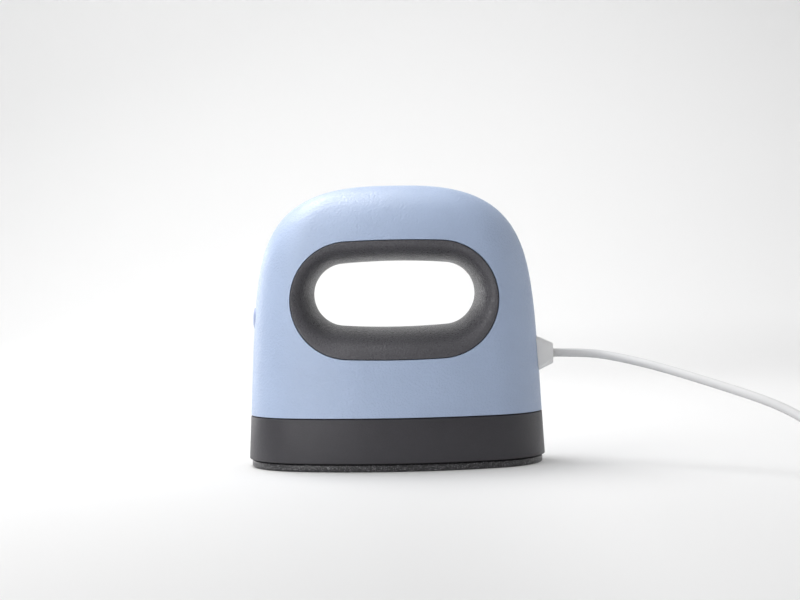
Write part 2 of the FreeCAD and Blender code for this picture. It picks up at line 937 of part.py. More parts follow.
def make_housing():
    """Makes the two shells and the two halves of the grip, which meet in the plane y = 0."""
    outer = dome("outer_form", "0", "shell_bottom")
    inner = dome("inner_form", "shell_wall", "shell_bottom - cut_excess")
    boss_form = dome("boss_form", "half_wall", "shell_bottom")
    flange_form = dome(
        "flange_form", "shell_wall + flange_thickness", "shell_bottom - cut_excess"
    )
    rims = {}
    for word, offset in (
        ("rim", "0"),
        ("rim_hole", "rim_gap"),
        ("flange_outline", "flange_reach"),
        ("flange_hole", "-flange_overlap"),
    ):
        rims[word] = oval_prism(
            word,
            f"rim_half_length + {offset}",
            f"rim_half_height + {offset}",
            "rim_centre",
            "rim_share",
        )

    tunnelled = cut("outer_tunnel", outer, [tunnel("tunnel_face", "0")])
    hollow = cut("inner_tunnel", inner, [tunnel("tunnel_back", "grip_wall")])
    shell = cut("shell_blank", tunnelled, [inner, rims["rim_hole"]])
    lip = cut("lip", common("rim_blank", tunnelled, rims["rim"]), [hollow])
    flange_layer = cut("flange_layer", inner, [flange_form])
    flange_ring = cut("flange_ring", rims["flange_outline"], [rims["flange_hole"]])
    grip = fuse("grip_blank", [lip, common("grip_flange", flange_layer, flange_ring)])

    for word, side, y_range in (
        ("front", -1, ("-tunnel_reach", "0")),
        ("rear", 1, ("0", "tunnel_reach")),
    ):
        all_x = ("-2 * tunnel_reach", "2 * tunnel_reach")
        all_z = ("0", "3 * tunnel_reach")
        shell_half = common(
            f"{word}_shell_half", shell, block(f"{word}_space", all_x, y_range, all_z)
        )
        bosses = common(f"{word}_bosses", shell_bosses(f"{word}_boss_blank", side), boss_form)
        whole = fuse(f"{word}_shell_blank", [shell_half, bosses])
        keep(
            f"{word}_shell",
            cut(f"{word}_shell", whole, [shell_holes(f"{word}_holes", side)]),
        )
        keep(
            f"{word}_grip",
            common(f"{word}_grip", grip, block(f"{word}_grip_space", all_x, y_range, all_z)),
        )
    return outer


# ---------------------------------------------------------------------------------------------
# Skirt and heating end


def make_base_skirt():
    """Makes the skirt: a hollow ring with a web, columns, standoffs and a locating spigot."""
    body = new_body("base_skirt")
    rings = []
    for word, height, inset in (
        ("low", "skirt_bottom", "0"),
        ("high", "skirt_top", "0"),
        ("hollow_low", "skirt_bottom", "skirt_wall"),
        ("hollow_high", "skirt_top", "skirt_wall"),
    ):
        ring = body_sketch(body, f"skirt_{word}", "XY_Plane", ("0", "0", height))
        add_oval(ring, half_length_at(height, inset), half_width_at(height, inset), "plan_share")
        rings.append(ring)
    for kind, name, (first, last) in (
        ("AdditiveLoft", "skirt_outside", rings[:2]),
        ("SubtractiveLoft", "skirt_hollow", rings[2:]),
    ):
        loft = body.newObject(f"PartDesign::{kind}", name)
        loft.Profile = first
        loft.Sections = [last]
        loft.Ruled = True
        document.recompute()

    web_oval = (
        half_length_at("web_bottom", "half_wall"),
        half_width_at("web_bottom", "half_wall"),
    )
    padded_oval(body, "skirt_web", web_oval, ("web_bottom", "web_top"))
    spigot_inset = "shell_wall + spigot_gap"
    spigot_oval = (
        half_length_at("spigot_top", spigot_inset),
        half_width_at("spigot_top", spigot_inset),
    )
    spigot = body_sketch(body, "skirt_spigot", "XY_Plane", ("0", "0", "web_bottom"))
    add_oval(spigot, *spigot_oval, "plan_share")
    add_oval(
        spigot,
        f"{spigot_oval[0]} - spigot_wall",
        f"{spigot_oval[1]} - spigot_wall",
        "plan_share",
    )
    pad(body, spigot, "spigot_top - web_bottom")

    columns = body_sketch(body, "skirt_columns", "XY_Plane", ("0", "0", "column_bottom"))
    at_corners(columns, "column_radius", "plate_screw_x", "plate_screw_y")
    pad(body, columns, "web_top - column_bottom")
    standoffs = body_sketch(body, "skirt_standoffs", "XY_Plane", ("0", "0", "web_bottom"))
    at_corners(standoffs, "standoff_radius", "board_screw_x", "board_screw_y")
    pad(body, standoffs, "board_bottom - web_bottom")
    seats = body_sketch(body, "skirt_seats", "XY_Plane", ("0", "0", "web_bottom"))
    at_corners(seats, "skirt_boss_radius", "skirt_screw_x", "skirt_screw_y")
    pad(body, seats, "spigot_top - web_bottom")

    column_holes = body_sketch(body, "skirt_column_holes", "XY_Plane", ("0", "0", "web_top"))
    at_corners(column_holes, "plate_hole_radius", "plate_screw_x", "plate_screw_y")
    pocket(body, column_holes, "web_top - column_bottom")
    standoff_holes = body_sketch(
        body, "skirt_standoff_holes", "XY_Plane", ("0", "0", "board_bottom")
    )
    at_corners(standoff_holes, "standoff_hole_radius", "board_screw_x", "board_screw_y")
    pocket(body, standoff_holes, "board_screw_shank_length")
    seat_holes = body_sketch(body, "skirt_seat_holes", "XY_Plane", ("0", "0", "spigot_top"))
    at_corners(seat_holes, "skirt_hole_radius", "skirt_screw_x", "skirt_screw_y")
    pocket(body, seat_holes, "spigot_top - web_bottom")
    recess = body_sketch(body, "skirt_seat_recess", "XY_Plane", ("0", "0", "skirt_boss_bottom"))
    at_corners(recess, "skirt_screw_head_radius + skirt_recess_gap", "skirt_screw_x", "skirt_screw_y")
    pocket(body, recess, "skirt_boss_bottom - web_bottom")
    add_wire_ways(body, "web_top", "web_top - web_bottom")


def add_wire_ways(body, top, depth):
    """Cuts the slot for the heater's leads and the holes for the sensor's and the fuse's."""
    slot = body_sketch(body, f"{body.Name}_slot", "XY_Plane", ("slot_centre", "0", top))
    add_rectangle(slot, "2 * slot_half_width", "2 * slot_half_length")
    pocket(body, slot, depth)
    ways = body_sketch(body, f"{body.Name}_ways", "XY_Plane", ("0", "0", top))
    in_pairs(ways, "lead_hole_radius", "sensor_x", "(sensor_half_length + lead_hole_offset)")
    in_pairs(ways, "lead_hole_radius", "fuse_x", "(fuse_half_length + lead_hole_offset)")
    pocket(body, ways, depth)


def make_heat_plate():
    """Makes the cast plate: the flange that presses, and the block that holds the element."""
    body = new_body("heat_plate")
    flange = padded_oval(
        body, "plate_flange", ("plate_half_length", "plate_half_width"), ("0", "plate_thickness")
    )
    lowest = [
        f"Edge{number}"
        for number, edge in enumerate(flange.Shape.Edges, start=1)
        if edge.BoundBox.ZMax < size("plate_edge")
    ]
    rounding = body.newObject("PartDesign::Fillet", "plate_rounding")
    rounding.Base = (flange, lowest)
    bind(rounding, "Radius", "plate_edge")
    document.recompute()
    padded_oval(
        body,
        "plate_block",
        ("block_half_length", "block_half_width"),
        ("plate_thickness - plate_edge", "block_top"),
    )
    add_element_pipe(
        body, "SubtractivePipe", "groove", "groove_open_end", "element_radius + element_clearance"
    )
    threads = body_sketch(body, "plate_threads", "XY_Plane", ("0", "0", "block_top"))
    at_corners(threads, "plate_hole_radius", "plate_screw_x", "plate_screw_y")
    pocket(body, threads, "block_top - plate_hole_bottom")
    clip_threads = body_sketch(body, "plate_clip_threads", "XY_Plane", ("0", "0", "block_top"))
    for x in clip_screw_places():
        add_circle(clip_threads, "clip_screw_shank_radius", x)
    pocket(body, clip_threads, "block_top - clip_hole_bottom")


def add_element_pipe(body, kind, name, open_end, radius):
    """Sweeps a circle along the element's U from its open end."""
    path = body_sketch(body, f"{name}_path", "XY_Plane", ("0", "0", "element_height"))
    bend = size("element_bend_centre")
    leg = size("element_leg")
    start = size(open_end)
    circle = Part.Circle(FreeCAD.Vector(bend, 0, 0), UP, leg)
    path.addGeometry(
        [
            Part.LineSegment(FreeCAD.Vector(start, -leg, 0), FreeCAD.Vector(bend, -leg, 0)),
            Part.ArcOfCircle(circle, -math.pi / 2, math.pi / 2),
            Part.LineSegment(FreeCAD.Vector(bend, leg, 0), FreeCAD.Vector(start, leg, 0)),
        ],
        False,
    )
    for constraint in (
        ("Tangent", 0, 2, 1, 1),
        ("Tangent", 1, 2, 2, 1),
        ("Horizontal", 0),
        ("PointOnObject", 1, 3, -1),
        ("Symmetric", 0, 1, 2, 2, -1),
    ):
        path.addConstraint(Sketcher.Constraint(*constraint))
    drive(path, Sketcher.Constraint("Radius", 1, leg), "leg", "element_leg")
    drive(path, Sketcher.Constraint("DistanceX", -1, 1, 1, 3, bend), "bend", "element_bend_centre")
    drive(path, Sketcher.Constraint("DistanceX", -1, 1, 0, 1, start), "open_end", open_end)
    profile = body_sketch(
        body, f"{name}_profile", "YZ_Plane", ("-element_leg", "element_height", open_end)
    )
    add_circle(profile, radius)
    pipe = body.newObject(f"PartDesign::{kind}", f"{name}_pipe")
    pipe.Profile = profile
    pipe.Spine = (path, ["Edge1", "Edge2", "Edge3"])
    document.recompute()


def make_heating_element():
    """Makes the sheathed element, its two terminal pins and the crimp sleeves on them."""
    element = new_body("heating_element")
    add_element_pipe(element, "AdditivePipe", "element", "element_open_end", "element_radius")
    pins = []
    sleeves = []
    for side in SIDES:
        place = (f"{side} * element_leg", "element_height")
        pins.append(
            rod(
                f"terminal_pin_{len(pins)}",
                "x",
                "terminal_radius",
                "terminal_end",
                "element_open_end",
                place,
            )
        )
        sleeve = rod(
            f"sleeve_blank_{len(sleeves)}",
            "x",
            "sleeve_radius",
            "sleeve_end",
            "sleeve_start",
            place,
        )
        bore = rod(
            f"sleeve_bore_{len(sleeves)}",
            "x",
            "terminal_radius",
            "sleeve_end - cut_excess",
            "sleeve_start + cut_excess",
            place,
        )
        sleeves.append(cut(f"sleeve_{len(sleeves)}", sleeve, [bore]))
    keep("element_terminals", group("element_terminals", pins))
    keep("terminal_sleeves", group("terminal_sleeves", sleeves))


def make_plate_seal():
    """Makes the thin seal that closes the gap between the plate's flange and the skirt."""
    body = new_body("plate_seal")
    ring = body_sketch(body, "seal_ring", "XY_Plane", ("0", "0", "plate_thickness"))
    for inset in ("seal_outer_inset", "seal_outer_inset + seal_width"):
        half_length = f"plate_half_length - ({inset})"
        add_oval(ring, half_length, f"plate_half_width - ({inset})", "plan_share")
    pad(body, ring, "skirt_bottom - plate_thickness")


def make_heat_shield():
    """Makes the sheet shield over the element, with its rim turned down."""
    body = new_body("heat_shield")
    oval = ("shield_half_length", "shield_half_width")
    rim = body_sketch(body, "shield_rim", "XY_Plane", ("0", "0", "shield_rim_bottom"))
    add_oval(rim, *oval, "plan_share")
    add_oval(rim, f"{oval[0]} - shield_thickness", f"{oval[1]} - shield_thickness", "plan_share")
    pad(body, rim, "shield_bottom - shield_rim_bottom")
    padded_oval(body, "shield_sheet", oval, ("shield_bottom", "shield_bottom + shield_thickness"))
    shield_depth = "shield_bottom + shield_thickness - shield_rim_bottom"
    add_column_clearance(body, "shield_bottom + shield_thickness", shield_depth)
    add_wire_ways(body, "shield_bottom + shield_thickness", "shield_thickness")


def make_insulation_pad():
    """Makes the felt pad between the shield and the web."""
    body = new_body("insulation_pad")
    oval = ("shield_half_length - pad_inset", "shield_half_width - pad_inset")
    bottom = "shield_bottom + shield_thickness"
    padded_oval(body, "pad_felt", oval, (bottom, "pad_top"))
    add_column_clearance(body, "pad_top", f"pad_top - ({bottom})")
    add_wire_ways(body, "pad_top", f"pad_top - ({bottom})")


def add_column_clearance(body, top, depth):
    """Cuts room for the web's columns and for the heads of the skirt's screws."""
    room = body_sketch(body, f"{body.Name}_room", "XY_Plane", ("0", "0", top))
    at_corners(room, "column_radius + column_clearance", "plate_screw_x", "plate_screw_y")
    head_room = "skirt_screw_head_radius + column_clearance"
    at_corners(room, head_room, "skirt_screw_x", "skirt_screw_y")
    pocket(body, room, depth)


def make_plate_spacers():
    """Makes the four ceramic spacers between the block and the web's columns."""
    body = new_body("plate_spacers")
    body.AllowCompound = True
    rings = body_sketch(body, "spacer_rings", "XY_Plane", ("0", "0", "block_top"))
    at_corners(rings, "column_radius", "plate_screw_x", "plate_screw_y")
    at_corners(rings, "plate_hole_radius", "plate_screw_x", "plate_screw_y")
    pad(body, rings, "column_bottom - block_top")


def clip_screw_places():
    """Returns the x of the screw of the sensor's clip and of the fuse's clip."""
    middle = "clip_foot / 2"
    return (
        f"(sensor_x + sensor_radius + clip_thickness + {middle})",
        f"(fuse_x - fuse_radius - clip_thickness - {middle})",
    )


def make_saddle_clip(label, x, radius, side):
    """Makes a strap that holds a small cylinder down on the block, with a foot on one side."""
    top = f"block_top + {radius}"
    y_range = ("-clip_half_width", "clip_half_width")
    outer_radius = f"{radius} + clip_thickness"
    arch = rod(f"{label}_arch", "y", outer_radius, *y_range, (x, top))
    legs_x = (f"{x} - ({outer_radius})", f"{x} + ({outer_radius})")
    legs = block(f"{label}_legs", legs_x, y_range, ("block_top", top))
    foot_x = (x, f"{x} + {outer_radius} + clip_foot")
    if side < 0:
        foot_x = (f"{x} - ({outer_radius}) - clip_foot", x)
    foot = block(f"{label}_foot", foot_x, y_range, ("block_top", "block_top + clip_thickness"))
    room = rod(f"{label}_room", "y", radius, "-clip_foot", "clip_foot", (x, top))
    way = block(
        f"{label}_way", (f"{x} - {radius}", f"{x} + {radius}"), ("-clip_foot", "clip_foot"),
        ("block_top", top),
    )
    screw_x = clip_screw_places()[0 if side > 0 else 1]
    hole = rod(
        f"{label}_hole", "z", "clip_screw_shank_radius", "block_top", "block_top + clip_foot",
        (screw_x, "0"),
    )
    below = block(
        f"{label}_below", (f"{x} - clip_foot", f"{x} + clip_foot"), ("-clip_foot", "clip_foot"),
        ("plate_thickness", "block_top"),
    )
    keep(label, cut(label, fuse(f"{label}_blank", [arch, legs, foot]), [room, way, hole, below]))


def make_sensing():
    """Makes the thermistor and the thermal fuse that lie on the block, with clips and screws."""
    bead_z = "block_top + sensor_radius"
    bead = rod(
        "thermistor_bead", "y", "sensor_radius", "-sensor_half_length",
        "sensor_half_length - sensor_nose_length", ("sensor_x", bead_z),
    )
    nose = cone(
        "thermistor_nose", "y", ("sensor_radius", "sensor_radius / 2"),
        "sensor_half_length - sensor_nose_length", "sensor_half_length", ("sensor_x", bead_z),
    )
    keep("thermistor", fuse("thermistor", [bead, nose]))
    fuse_z = "block_top + fuse_radius"
    can = rod(
        "fuse_can", "y", "fuse_radius", "fuse_end_length - fuse_half_length",
        "fuse_half_length - fuse_end_length", ("fuse_x", fuse_z),
    )
    ends = rod(
        "fuse_ends", "y", "fuse_end_radius", "-fuse_half_length", "fuse_half_length",
        ("fuse_x", fuse_z),
    )
    keep("thermal_fuse", fuse("thermal_fuse", [can, ends]))
    make_saddle_clip("sensor_clip", "sensor_x", "sensor_radius", 1)
    make_saddle_clip("fuse_clip", "fuse_x", "fuse_radius", -1)
    seats = [(x, "0", "block_top + clip_thickness") for x in clip_screw_places()]
    make_screws("clip_screws", "clip_screw", "z", 1, seats)


# ---------------------------------------------------------------------------------------------
# Screws


def make_screws(label, kind, axis, sign, seats):
    """Makes a group of cross-head screws.

    Each seat is the middle of the face under the head, and sign says which way along the axis
    the head rises.  The head's and the shank's sizes are the kind's own.
    """
    screws = []
    order = "xyz".index(axis)
    for seat in seats:
        name = f"{label}_{len(screws)}"
        across = [text for place, text in enumerate(seat) if place != order]
        seat_place = f"({seat[order]})"
        outer = f"{seat_place} + {sign} * {kind}_head_height"
        inner = f"{seat_place} - {sign} * {kind}_shank_length"
        bottom = f"{seat_place} + {sign} * {kind}_head_height / 2"
        spans = {
            "head": (seat_place, outer),
            "shank": (inner, seat_place),
            "slot": (bottom, f"{outer} + {sign} * cut_excess"),
        }
        if sign < 0:
            spans = {word: (high, low) for word, (low, high) in spans.items()}
        head = rod(f"{name}_head", axis, f"{kind}_head_radius", *spans["head"], across)
        shank = rod(f"{name}_shank", axis, f"{kind}_shank_radius", *spans["shank"], across)
        slots = []
        for turn in (0, 1):
            halves = [f"{share} * {kind}_head_radius" for share in SLOT_SHARES]
            ranges = [
                (f"({text}) - {half}", f"({text}) + {half}")
                for text, half in zip(across, halves[:: 1 if turn else -1])
            ]
            ranges.insert(order, spans["slot"])
            slots.append(block(f"{name}_slot_{turn}", *ranges))
        screws.append(cut(name, fuse(f"{name}_blank", [head, shank]), slots))
    keep(label, group(label, screws))


def corner_seats(x, y, z):
    """Returns the four seats at the corners of a rectangle."""
    return [(f"{x_sign} * {x}", f"{y_sign} * {y}", z) for x_sign, y_sign in CORNERS]


def make_fixings():
    """Makes the screws that hold the housing, the plate, the boards and the bracket."""
    make_screws(
        "plate_screws", "plate_screw", "z", 1,
        corner_seats("plate_screw_x", "plate_screw_y", "web_top"),
    )
    make_screws(
        "skirt_screws", "skirt_screw", "z", -1,
        corner_seats("skirt_screw_x", "skirt_screw_y", "skirt_boss_bottom"),
    )
    seats = []
    for row in ("low", "high"):
        for x_sign in SIDES:
            seats.append((f"{x_sign} * {row}_screw_x", "shell_screw_seat", f"{row}_screw_z"))
    make_screws("shell_screws", "shell_screw", "y", 1, seats)
    make_screws(
        "board_screws", "board_screw", "z", 1,
        corner_seats("board_screw_x", "board_screw_y", "board_top"),
    )
    bracket_face = "bracket_rear - bracket_thickness"
    bracket_seats = [
        ("bracket_screw_x", bracket_face, f"bracket_screw_{level}") for level in ("low", "high")
    ]
    make_screws("bracket_screws", "bracket_screw", "y", -1, bracket_seats)
    control_seats = [
        ("control_left", f"{side} * control_screw_y", "control_screw_z") for side in SIDES
    ]
    make_screws("control_screws", "control_screw", "x", -1, control_seats)


# ---------------------------------------------------------------------------------------------
# Main board


def make_main_board():
    """Makes the main board with its rounded corners and its screw holes."""
    body = new_body("main_board")
    outline = body_sketch(body, "board_outline", "XY_Plane", ("0", "0", "board_bottom"))
    add_rectangle(outline, "2 * board_half_length", "2 * board_half_width")
    plate = pad(body, outline, "board_top - board_bottom")
    upright = [
        f"Edge{number}"
        for number, edge in enumerate(plate.Shape.Edges, start=1)
        if edge.BoundBox.ZLength > size("board_top - board_bottom") / 2
    ]
    corners = body.newObject("PartDesign::Fillet", "board_corners")
    corners.Base = (plate, upright)
    bind(corners, "Radius", "board_corner")
    document.recompute()
    holes = body_sketch(body, "board_holes", "XY_Plane", ("0", "0", "board_top"))
    at_corners(holes, "standoff_hole_radius", "board_screw_x", "board_screw_y")
    pocket(body, holes, "board_top - board_bottom")


def standing_block(label, left, right, front, rear, top):
    """Makes a component that stands on the main board."""
    return block(label, (left, right), (front, rear), ("board_top", top))


def make_board_components():
    """Makes what stands on the main board."""
    inlet = standing_block(
        "inlet_blank", "inlet_block_left", "inlet_block_right", "-inlet_block_half_width",
        "inlet_block_half_width", "inlet_block_top",
    )
    middle = "(inlet_block_left + inlet_block_right) / 2"
    ports = [
        rod(
            f"inlet_port_{side + 1}", "z", "inlet_port_radius", "inlet_block_top - inlet_port_depth",
            "inlet_block_top + cut_excess", (middle, f"{side} * inlet_pole_y"),
        )
        for side in SIDES
    ]
    keep("inlet_terminals", cut("inlet_terminals", inlet, ports))
    heater = standing_block(
        "heater_blank", "heater_block_left", "heater_block_right", "-heater_block_half_width",
        "heater_block_half_width", "heater_block_top",
    )
    heater_ports = [
        rod(
            f"heater_port_{side + 1}", "x", "inlet_port_radius", "heater_block_left - cut_excess",
            "heater_block_left + heater_port_depth", (f"{side} * element_leg", "heater_port_z"),
        )
        for side in SIDES
    ]
    keep("heater_terminals", cut("heater_terminals", heater, heater_ports))
    make_tube_fuse()
    for label, word in (
        ("filter_capacitor", "filter"),
        ("power_relay", "relay"),
        ("supply_module", "supply"),
    ):
        edges = [f"{word}_{side}" for side in ("left", "right", "front", "rear", "top")]
        keep(label, standing_block(label, *edges))
    keep(
        "smoothing_capacitor",
        rod(
            "smoothing_capacitor", "z", "smoothing_radius", "board_top", "smoothing_top",
            ("smoothing_x", "smoothing_y"),
        ),
    )
    make_controller_chip()
    keep(
        "ribbon_header",
        standing_block(
            "ribbon_header", "header_x - header_half_length", "header_x + header_half_length",
            "header_y - header_half_width", "header_y + header_half_width", "header_top",
        ),
    )


def make_tube_fuse():
    """Makes the glass fuse across the board and the two clips that hold its caps."""
    place = ("tube_fuse_x", "tube_fuse_z")
    reach = "tube_fuse_half_length"
    keep("mains_fuse", rod("mains_fuse", "y", "tube_fuse_radius", f"-{reach}", reach, place))
    clips = []
    outer = "tube_fuse_radius + fuse_clip_wall"
    for side in SIDES:
        middle = f"{side} * (tube_fuse_half_length - tube_fuse_cap_length / 2)"
        y_range = (f"{middle} - fuse_clip_half_width", f"{middle} + fuse_clip_half_width")
        name = f"fuse_holder_{side + 1}"
        body = block(
            f"{name}_body", (f"tube_fuse_x - ({outer})", f"tube_fuse_x + {outer}"), y_range,
            ("board_top", "tube_fuse_z + fuse_holder_rise"),
        )
        past = (f"{y_range[0]} - cut_excess", f"{y_range[1]} + cut_excess")
        room = rod(f"{name}_room", "y", "tube_fuse_radius", *past, place)
        half_mouth = "(tube_fuse_radius - fuse_holder_lip)"
        opening = block(
            f"{name}_opening", (f"tube_fuse_x - {half_mouth}", f"tube_fuse_x + {half_mouth}"), past,
            ("tube_fuse_z", "tube_fuse_z + fuse_holder_mouth"),
        )
        clips.append(cut(name, body, [room, opening]))
    keep("fuse_holders", group("fuse_holders", clips))


def make_controller_chip():
    """Makes the controller's case with a row of legs along its front and rear."""
    parts = [
        block(
            "chip_case", ("chip_left", "chip_right"), ("chip_front", "chip_rear"),
            ("chip_bottom", "chip_top"),
        )
    ]
    for leg in range(CHIP_LEGS):
        x = f"chip_left + chip_leg_inset + {leg} * chip_leg_pitch"
        x_range = (f"{x} - chip_leg_width / 2", f"{x} + chip_leg_width / 2")
        y_range = ("chip_front - chip_leg_reach", "chip_rear + chip_leg_reach")
        z_range = ("board_top", "chip_bottom + chip_leg_width")
        parts.append(block(f"chip_leg_{leg}", x_range, y_range, z_range))
    keep("controller_chip", fuse("controller_chip", parts))


# ---------------------------------------------------------------------------------------------
# Button end


def make_control_board():
    """Makes the upright control board, its bracket, its socket and its indicators."""
    board = new_body("control_board")
    middle = "(control_bottom + control_top) / 2"
    outline = body_sketch(board, "control_outline", "YZ_Plane", ("0", middle, "control_left"))
    add_rectangle(outline, "2 * control_half_width", "control_top - control_bottom")
    pad(board, outline, "control_right - control_left")
    place = ("0", "control_screw_z", "control_right")
    holes = body_sketch(board, "control_holes", "YZ_Plane", place)
    for side in SIDES:
        add_circle(holes, "control_hole_radius", f"{side} * control_screw_y")
    pocket(board, holes, "control_right - control_left")

    right = "control_right + bracket_thickness"
    z_range = ("bracket_bottom", "bracket_top")
    upright = block(
        "bracket_upright", ("control_right", right), ("bracket_front", "bracket_rear"), z_range
    )
    wing = block(
        "bracket_wing", ("bracket_left", right),
        ("bracket_rear - bracket_thickness", "bracket_rear"), z_range,
    )
    drilled = [
        rod(
            f"bracket_hole_{level}", "y", "bracket_hole_radius", "0", "bracket_rear + cut_excess",
            ("bracket_screw_x", f"bracket_screw_{level}"),
        )
        for level in ("low", "high")
    ]
    drilled += [
        rod(
            f"bracket_thread_{side + 1}", "x", "control_hole_radius", "control_right - cut_excess",
            f"{right} + cut_excess", (f"{side} * control_screw_y", "control_screw_z"),
        )
        for side in SIDES
    ]
    keep("board_bracket", cut("board_bracket", fuse("bracket_blank", [upright, wing]), drilled))
    keep(
        "ribbon_socket",
        block(
            "ribbon_socket", ("socket_left", "control_left"),
            ("-socket_half_width", "socket_half_width"), ("socket_bottom", "socket_top"),
        ),
    )
    lights = []
    for side in SIDES:
        y = f"{side} * indicator_half_spacing"
        lights.append(
            block(
                f"indicator_{side + 1}", ("control_left - indicator_height", "control_left"),
                (f"{y} - indicator_half_width", f"{y} + indicator_half_width"),
                ("button_height - indicator_half_width", "button_height + indicator_half_width"),
            )
        )
    keep("indicator_leds", group("indicator_leds", lights))


def make_button():
    """Makes the button's cap, the tact switch behind it and the switch's plunger."""
    body = new_body("power_button")
    outline = body_sketch(body, "button_section", "XZ_Plane", ("0", "button_height", "0"))
    tip = size("button_tip")
    radius = size("button_radius")
    dome_radius = size("button_dome_radius")
    shoulder = tip + dome_radius - math.sqrt(dome_radius ** 2 - radius ** 2)
    corners = (
        (tip, 0),
        (shoulder, radius),
        (size("button_skirt_start"), radius),
        (size("button_skirt_start"), size("button_skirt_radius")),
        (size("button_skirt_end"), size("button_skirt_radius")),
        (size("button_skirt_end"), size("button_stem_radius")),
        (size("button_stem_end"), size("button_stem_radius")),
        (size("button_stem_end"), 0),
    )
    points = [FreeCAD.Vector(x, y, 0) for x, y in corners]
    turn = math.asin(radius / dome_radius)
    dome_circle = Part.Circle(FreeCAD.Vector(tip + dome_radius, 0, 0), UP, dome_radius)
    outline.addGeometry(Part.ArcOfCircle(dome_circle, math.pi - turn, math.pi), False)
    for first, last in zip(points[1:], points[2:] + points[:1]):
        outline.addGeometry(Part.LineSegment(first, last), False)
    for line in range(1, 8):
        joint = (line, 2, line + 1, 1) if line < 7 else (line, 2, 0, 2)
        outline.addConstraint(Sketcher.Constraint("Coincident", *joint))
    outline.addConstraint(Sketcher.Constraint("Coincident", 0, 1, 1, 1))
    for line in (1, 3, 5):
        outline.addConstraint(Sketcher.Constraint("Horizontal", line))
    for line in (2, 4, 6):
        outline.addConstraint(Sketcher.Constraint("Vertical", line))
    outline.addConstraint(Sketcher.Constraint("PointOnObject", 0, 3, -1))
    outline.addConstraint(Sketcher.Constraint("PointOnObject", 0, 2, -1))
    outline.addConstraint(Sketcher.Constraint("PointOnObject", 6, 2, -1))
    drive(outline, Sketcher.Constraint("Radius", 0, dome_radius), "dome", "button_dome_radius")
    for name, (geometry, point), text in (
        ("tip", (0, 2), "button_tip"),
        ("skirt_start", (2, 1), "button_skirt_start"),
        ("skirt_end", (4, 1), "button_skirt_end"),
        ("stem_end", (6, 1), "button_stem_end"),
    ):
        length = Sketcher.Constraint("DistanceX", -1, 1, geometry, point, size(text))
        drive(outline, length, name, text)
    for name, (geometry, point), text in (
        ("cap_radius", (1, 1), "button_radius"),
        ("skirt_radius", (3, 1), "button_skirt_radius"),
        ("stem_radius", (5, 1), "button_stem_radius"),
    ):
        height = Sketcher.Constraint("DistanceY", -1, 1, geometry, point, size(text))
        drive(outline, height, name, text)
    turned = body.newObject("PartDesign::Revolution", "button_turned")
    turned.Profile = outline
    turned.ReferenceAxis = (outline, ["H_Axis"])
    turned.Angle = 360
    document.recompute()

    case = block(
        "switch_blank", ("switch_left", "control_left"),
        ("-switch_half_width", "switch_half_width"),
        ("button_height - switch_half_width", "button_height + switch_half_width"),
    )
    place = ("0", "button_height")
    well = rod(
        "switch_well", "x", "plunger_well_radius", "switch_left - cut_excess", "plunger_well_end", place
    )
    keep("switch_body", cut("switch_body", case, [well]))
    keep(
        "switch_plunger",
        rod("switch_plunger", "x", "plunger_radius", "button_stem_end", "plunger_end", place),
    )


# ---------------------------------------------------------------------------------------------
# Cord, plug and leads


def smooth_path(points):
    """Returns the wire of a route, straight runs joined by tangent arcs, and the arcs' radii."""
    vectors = [FreeCAD.Vector(*point) for point in points]
    edges = []
    radii = []
    start = vectors[0]
    for before, corner, after in zip(vectors, vectors[1:], vectors[2:]):
        back = before - corner
        onward = after - corner
        reach = ARC_SHARE * min(back.Length, onward.Length)
        turn = math.pi - back.getAngle(onward)
        radius = reach / math.tan(turn / 2)
        radii.append(radius)
        back.normalize()
        onward.normalize()
        enter = corner + back * reach
        leave = corner + onward * reach
        bisector = back + onward
        bisector.normalize()
        middle = corner + bisector * (radius / math.cos(turn / 2) - radius)
        edges.append(Part.LineSegment(start, enter).toShape())
        edges.append(Part.Arc(enter, middle, leave).toShape())
        start = leave
    edges.append(Part.LineSegment(start, vectors[-1]).toShape())
    return Part.Wire(edges), radii


def swept_tube(path, radius):
    """Sweeps a disc along a smooth wire."""
    first = path.OrderedEdges[0]
    start = first.valueAt(first.FirstParameter)
    heading = first.tangentAt(first.FirstParameter)
    ring = Part.Wire(Part.Circle(start, heading, radius).toShape())
    tube = path.makePipeShell([ring], True, False)
    expected = math.pi * radius ** 2 * path.Length
    if abs(tube.Volume / expected - 1) > VOLUME_TOLERANCE:
        raise RuntimeError(f"a tube holds {tube.Volume:.1f} mm3, not {expected:.1f}")
    return tube


def tube_piece(label, routes, radius):
    """Makes a sub-part of one tube or more along hand-set routes, and prints the bends."""
    tubes = []
    for points in routes:
        path, radii = smooth_path(points)
        tubes.append(swept_tube(path, radius))
        bends = ", ".join(f"{bend:.1f}" for bend in radii)
        print(f"{label}: {path.Length:.1f} mm long, radii {bends} mm")
    feature = document.addObject("Part::Feature", label)
    feature.Shape = tubes[0] if len(tubes) == 1 else Part.makeCompound(tubes)
    feature.Placement = FreeCAD.Placement()
    keep(label, feature)


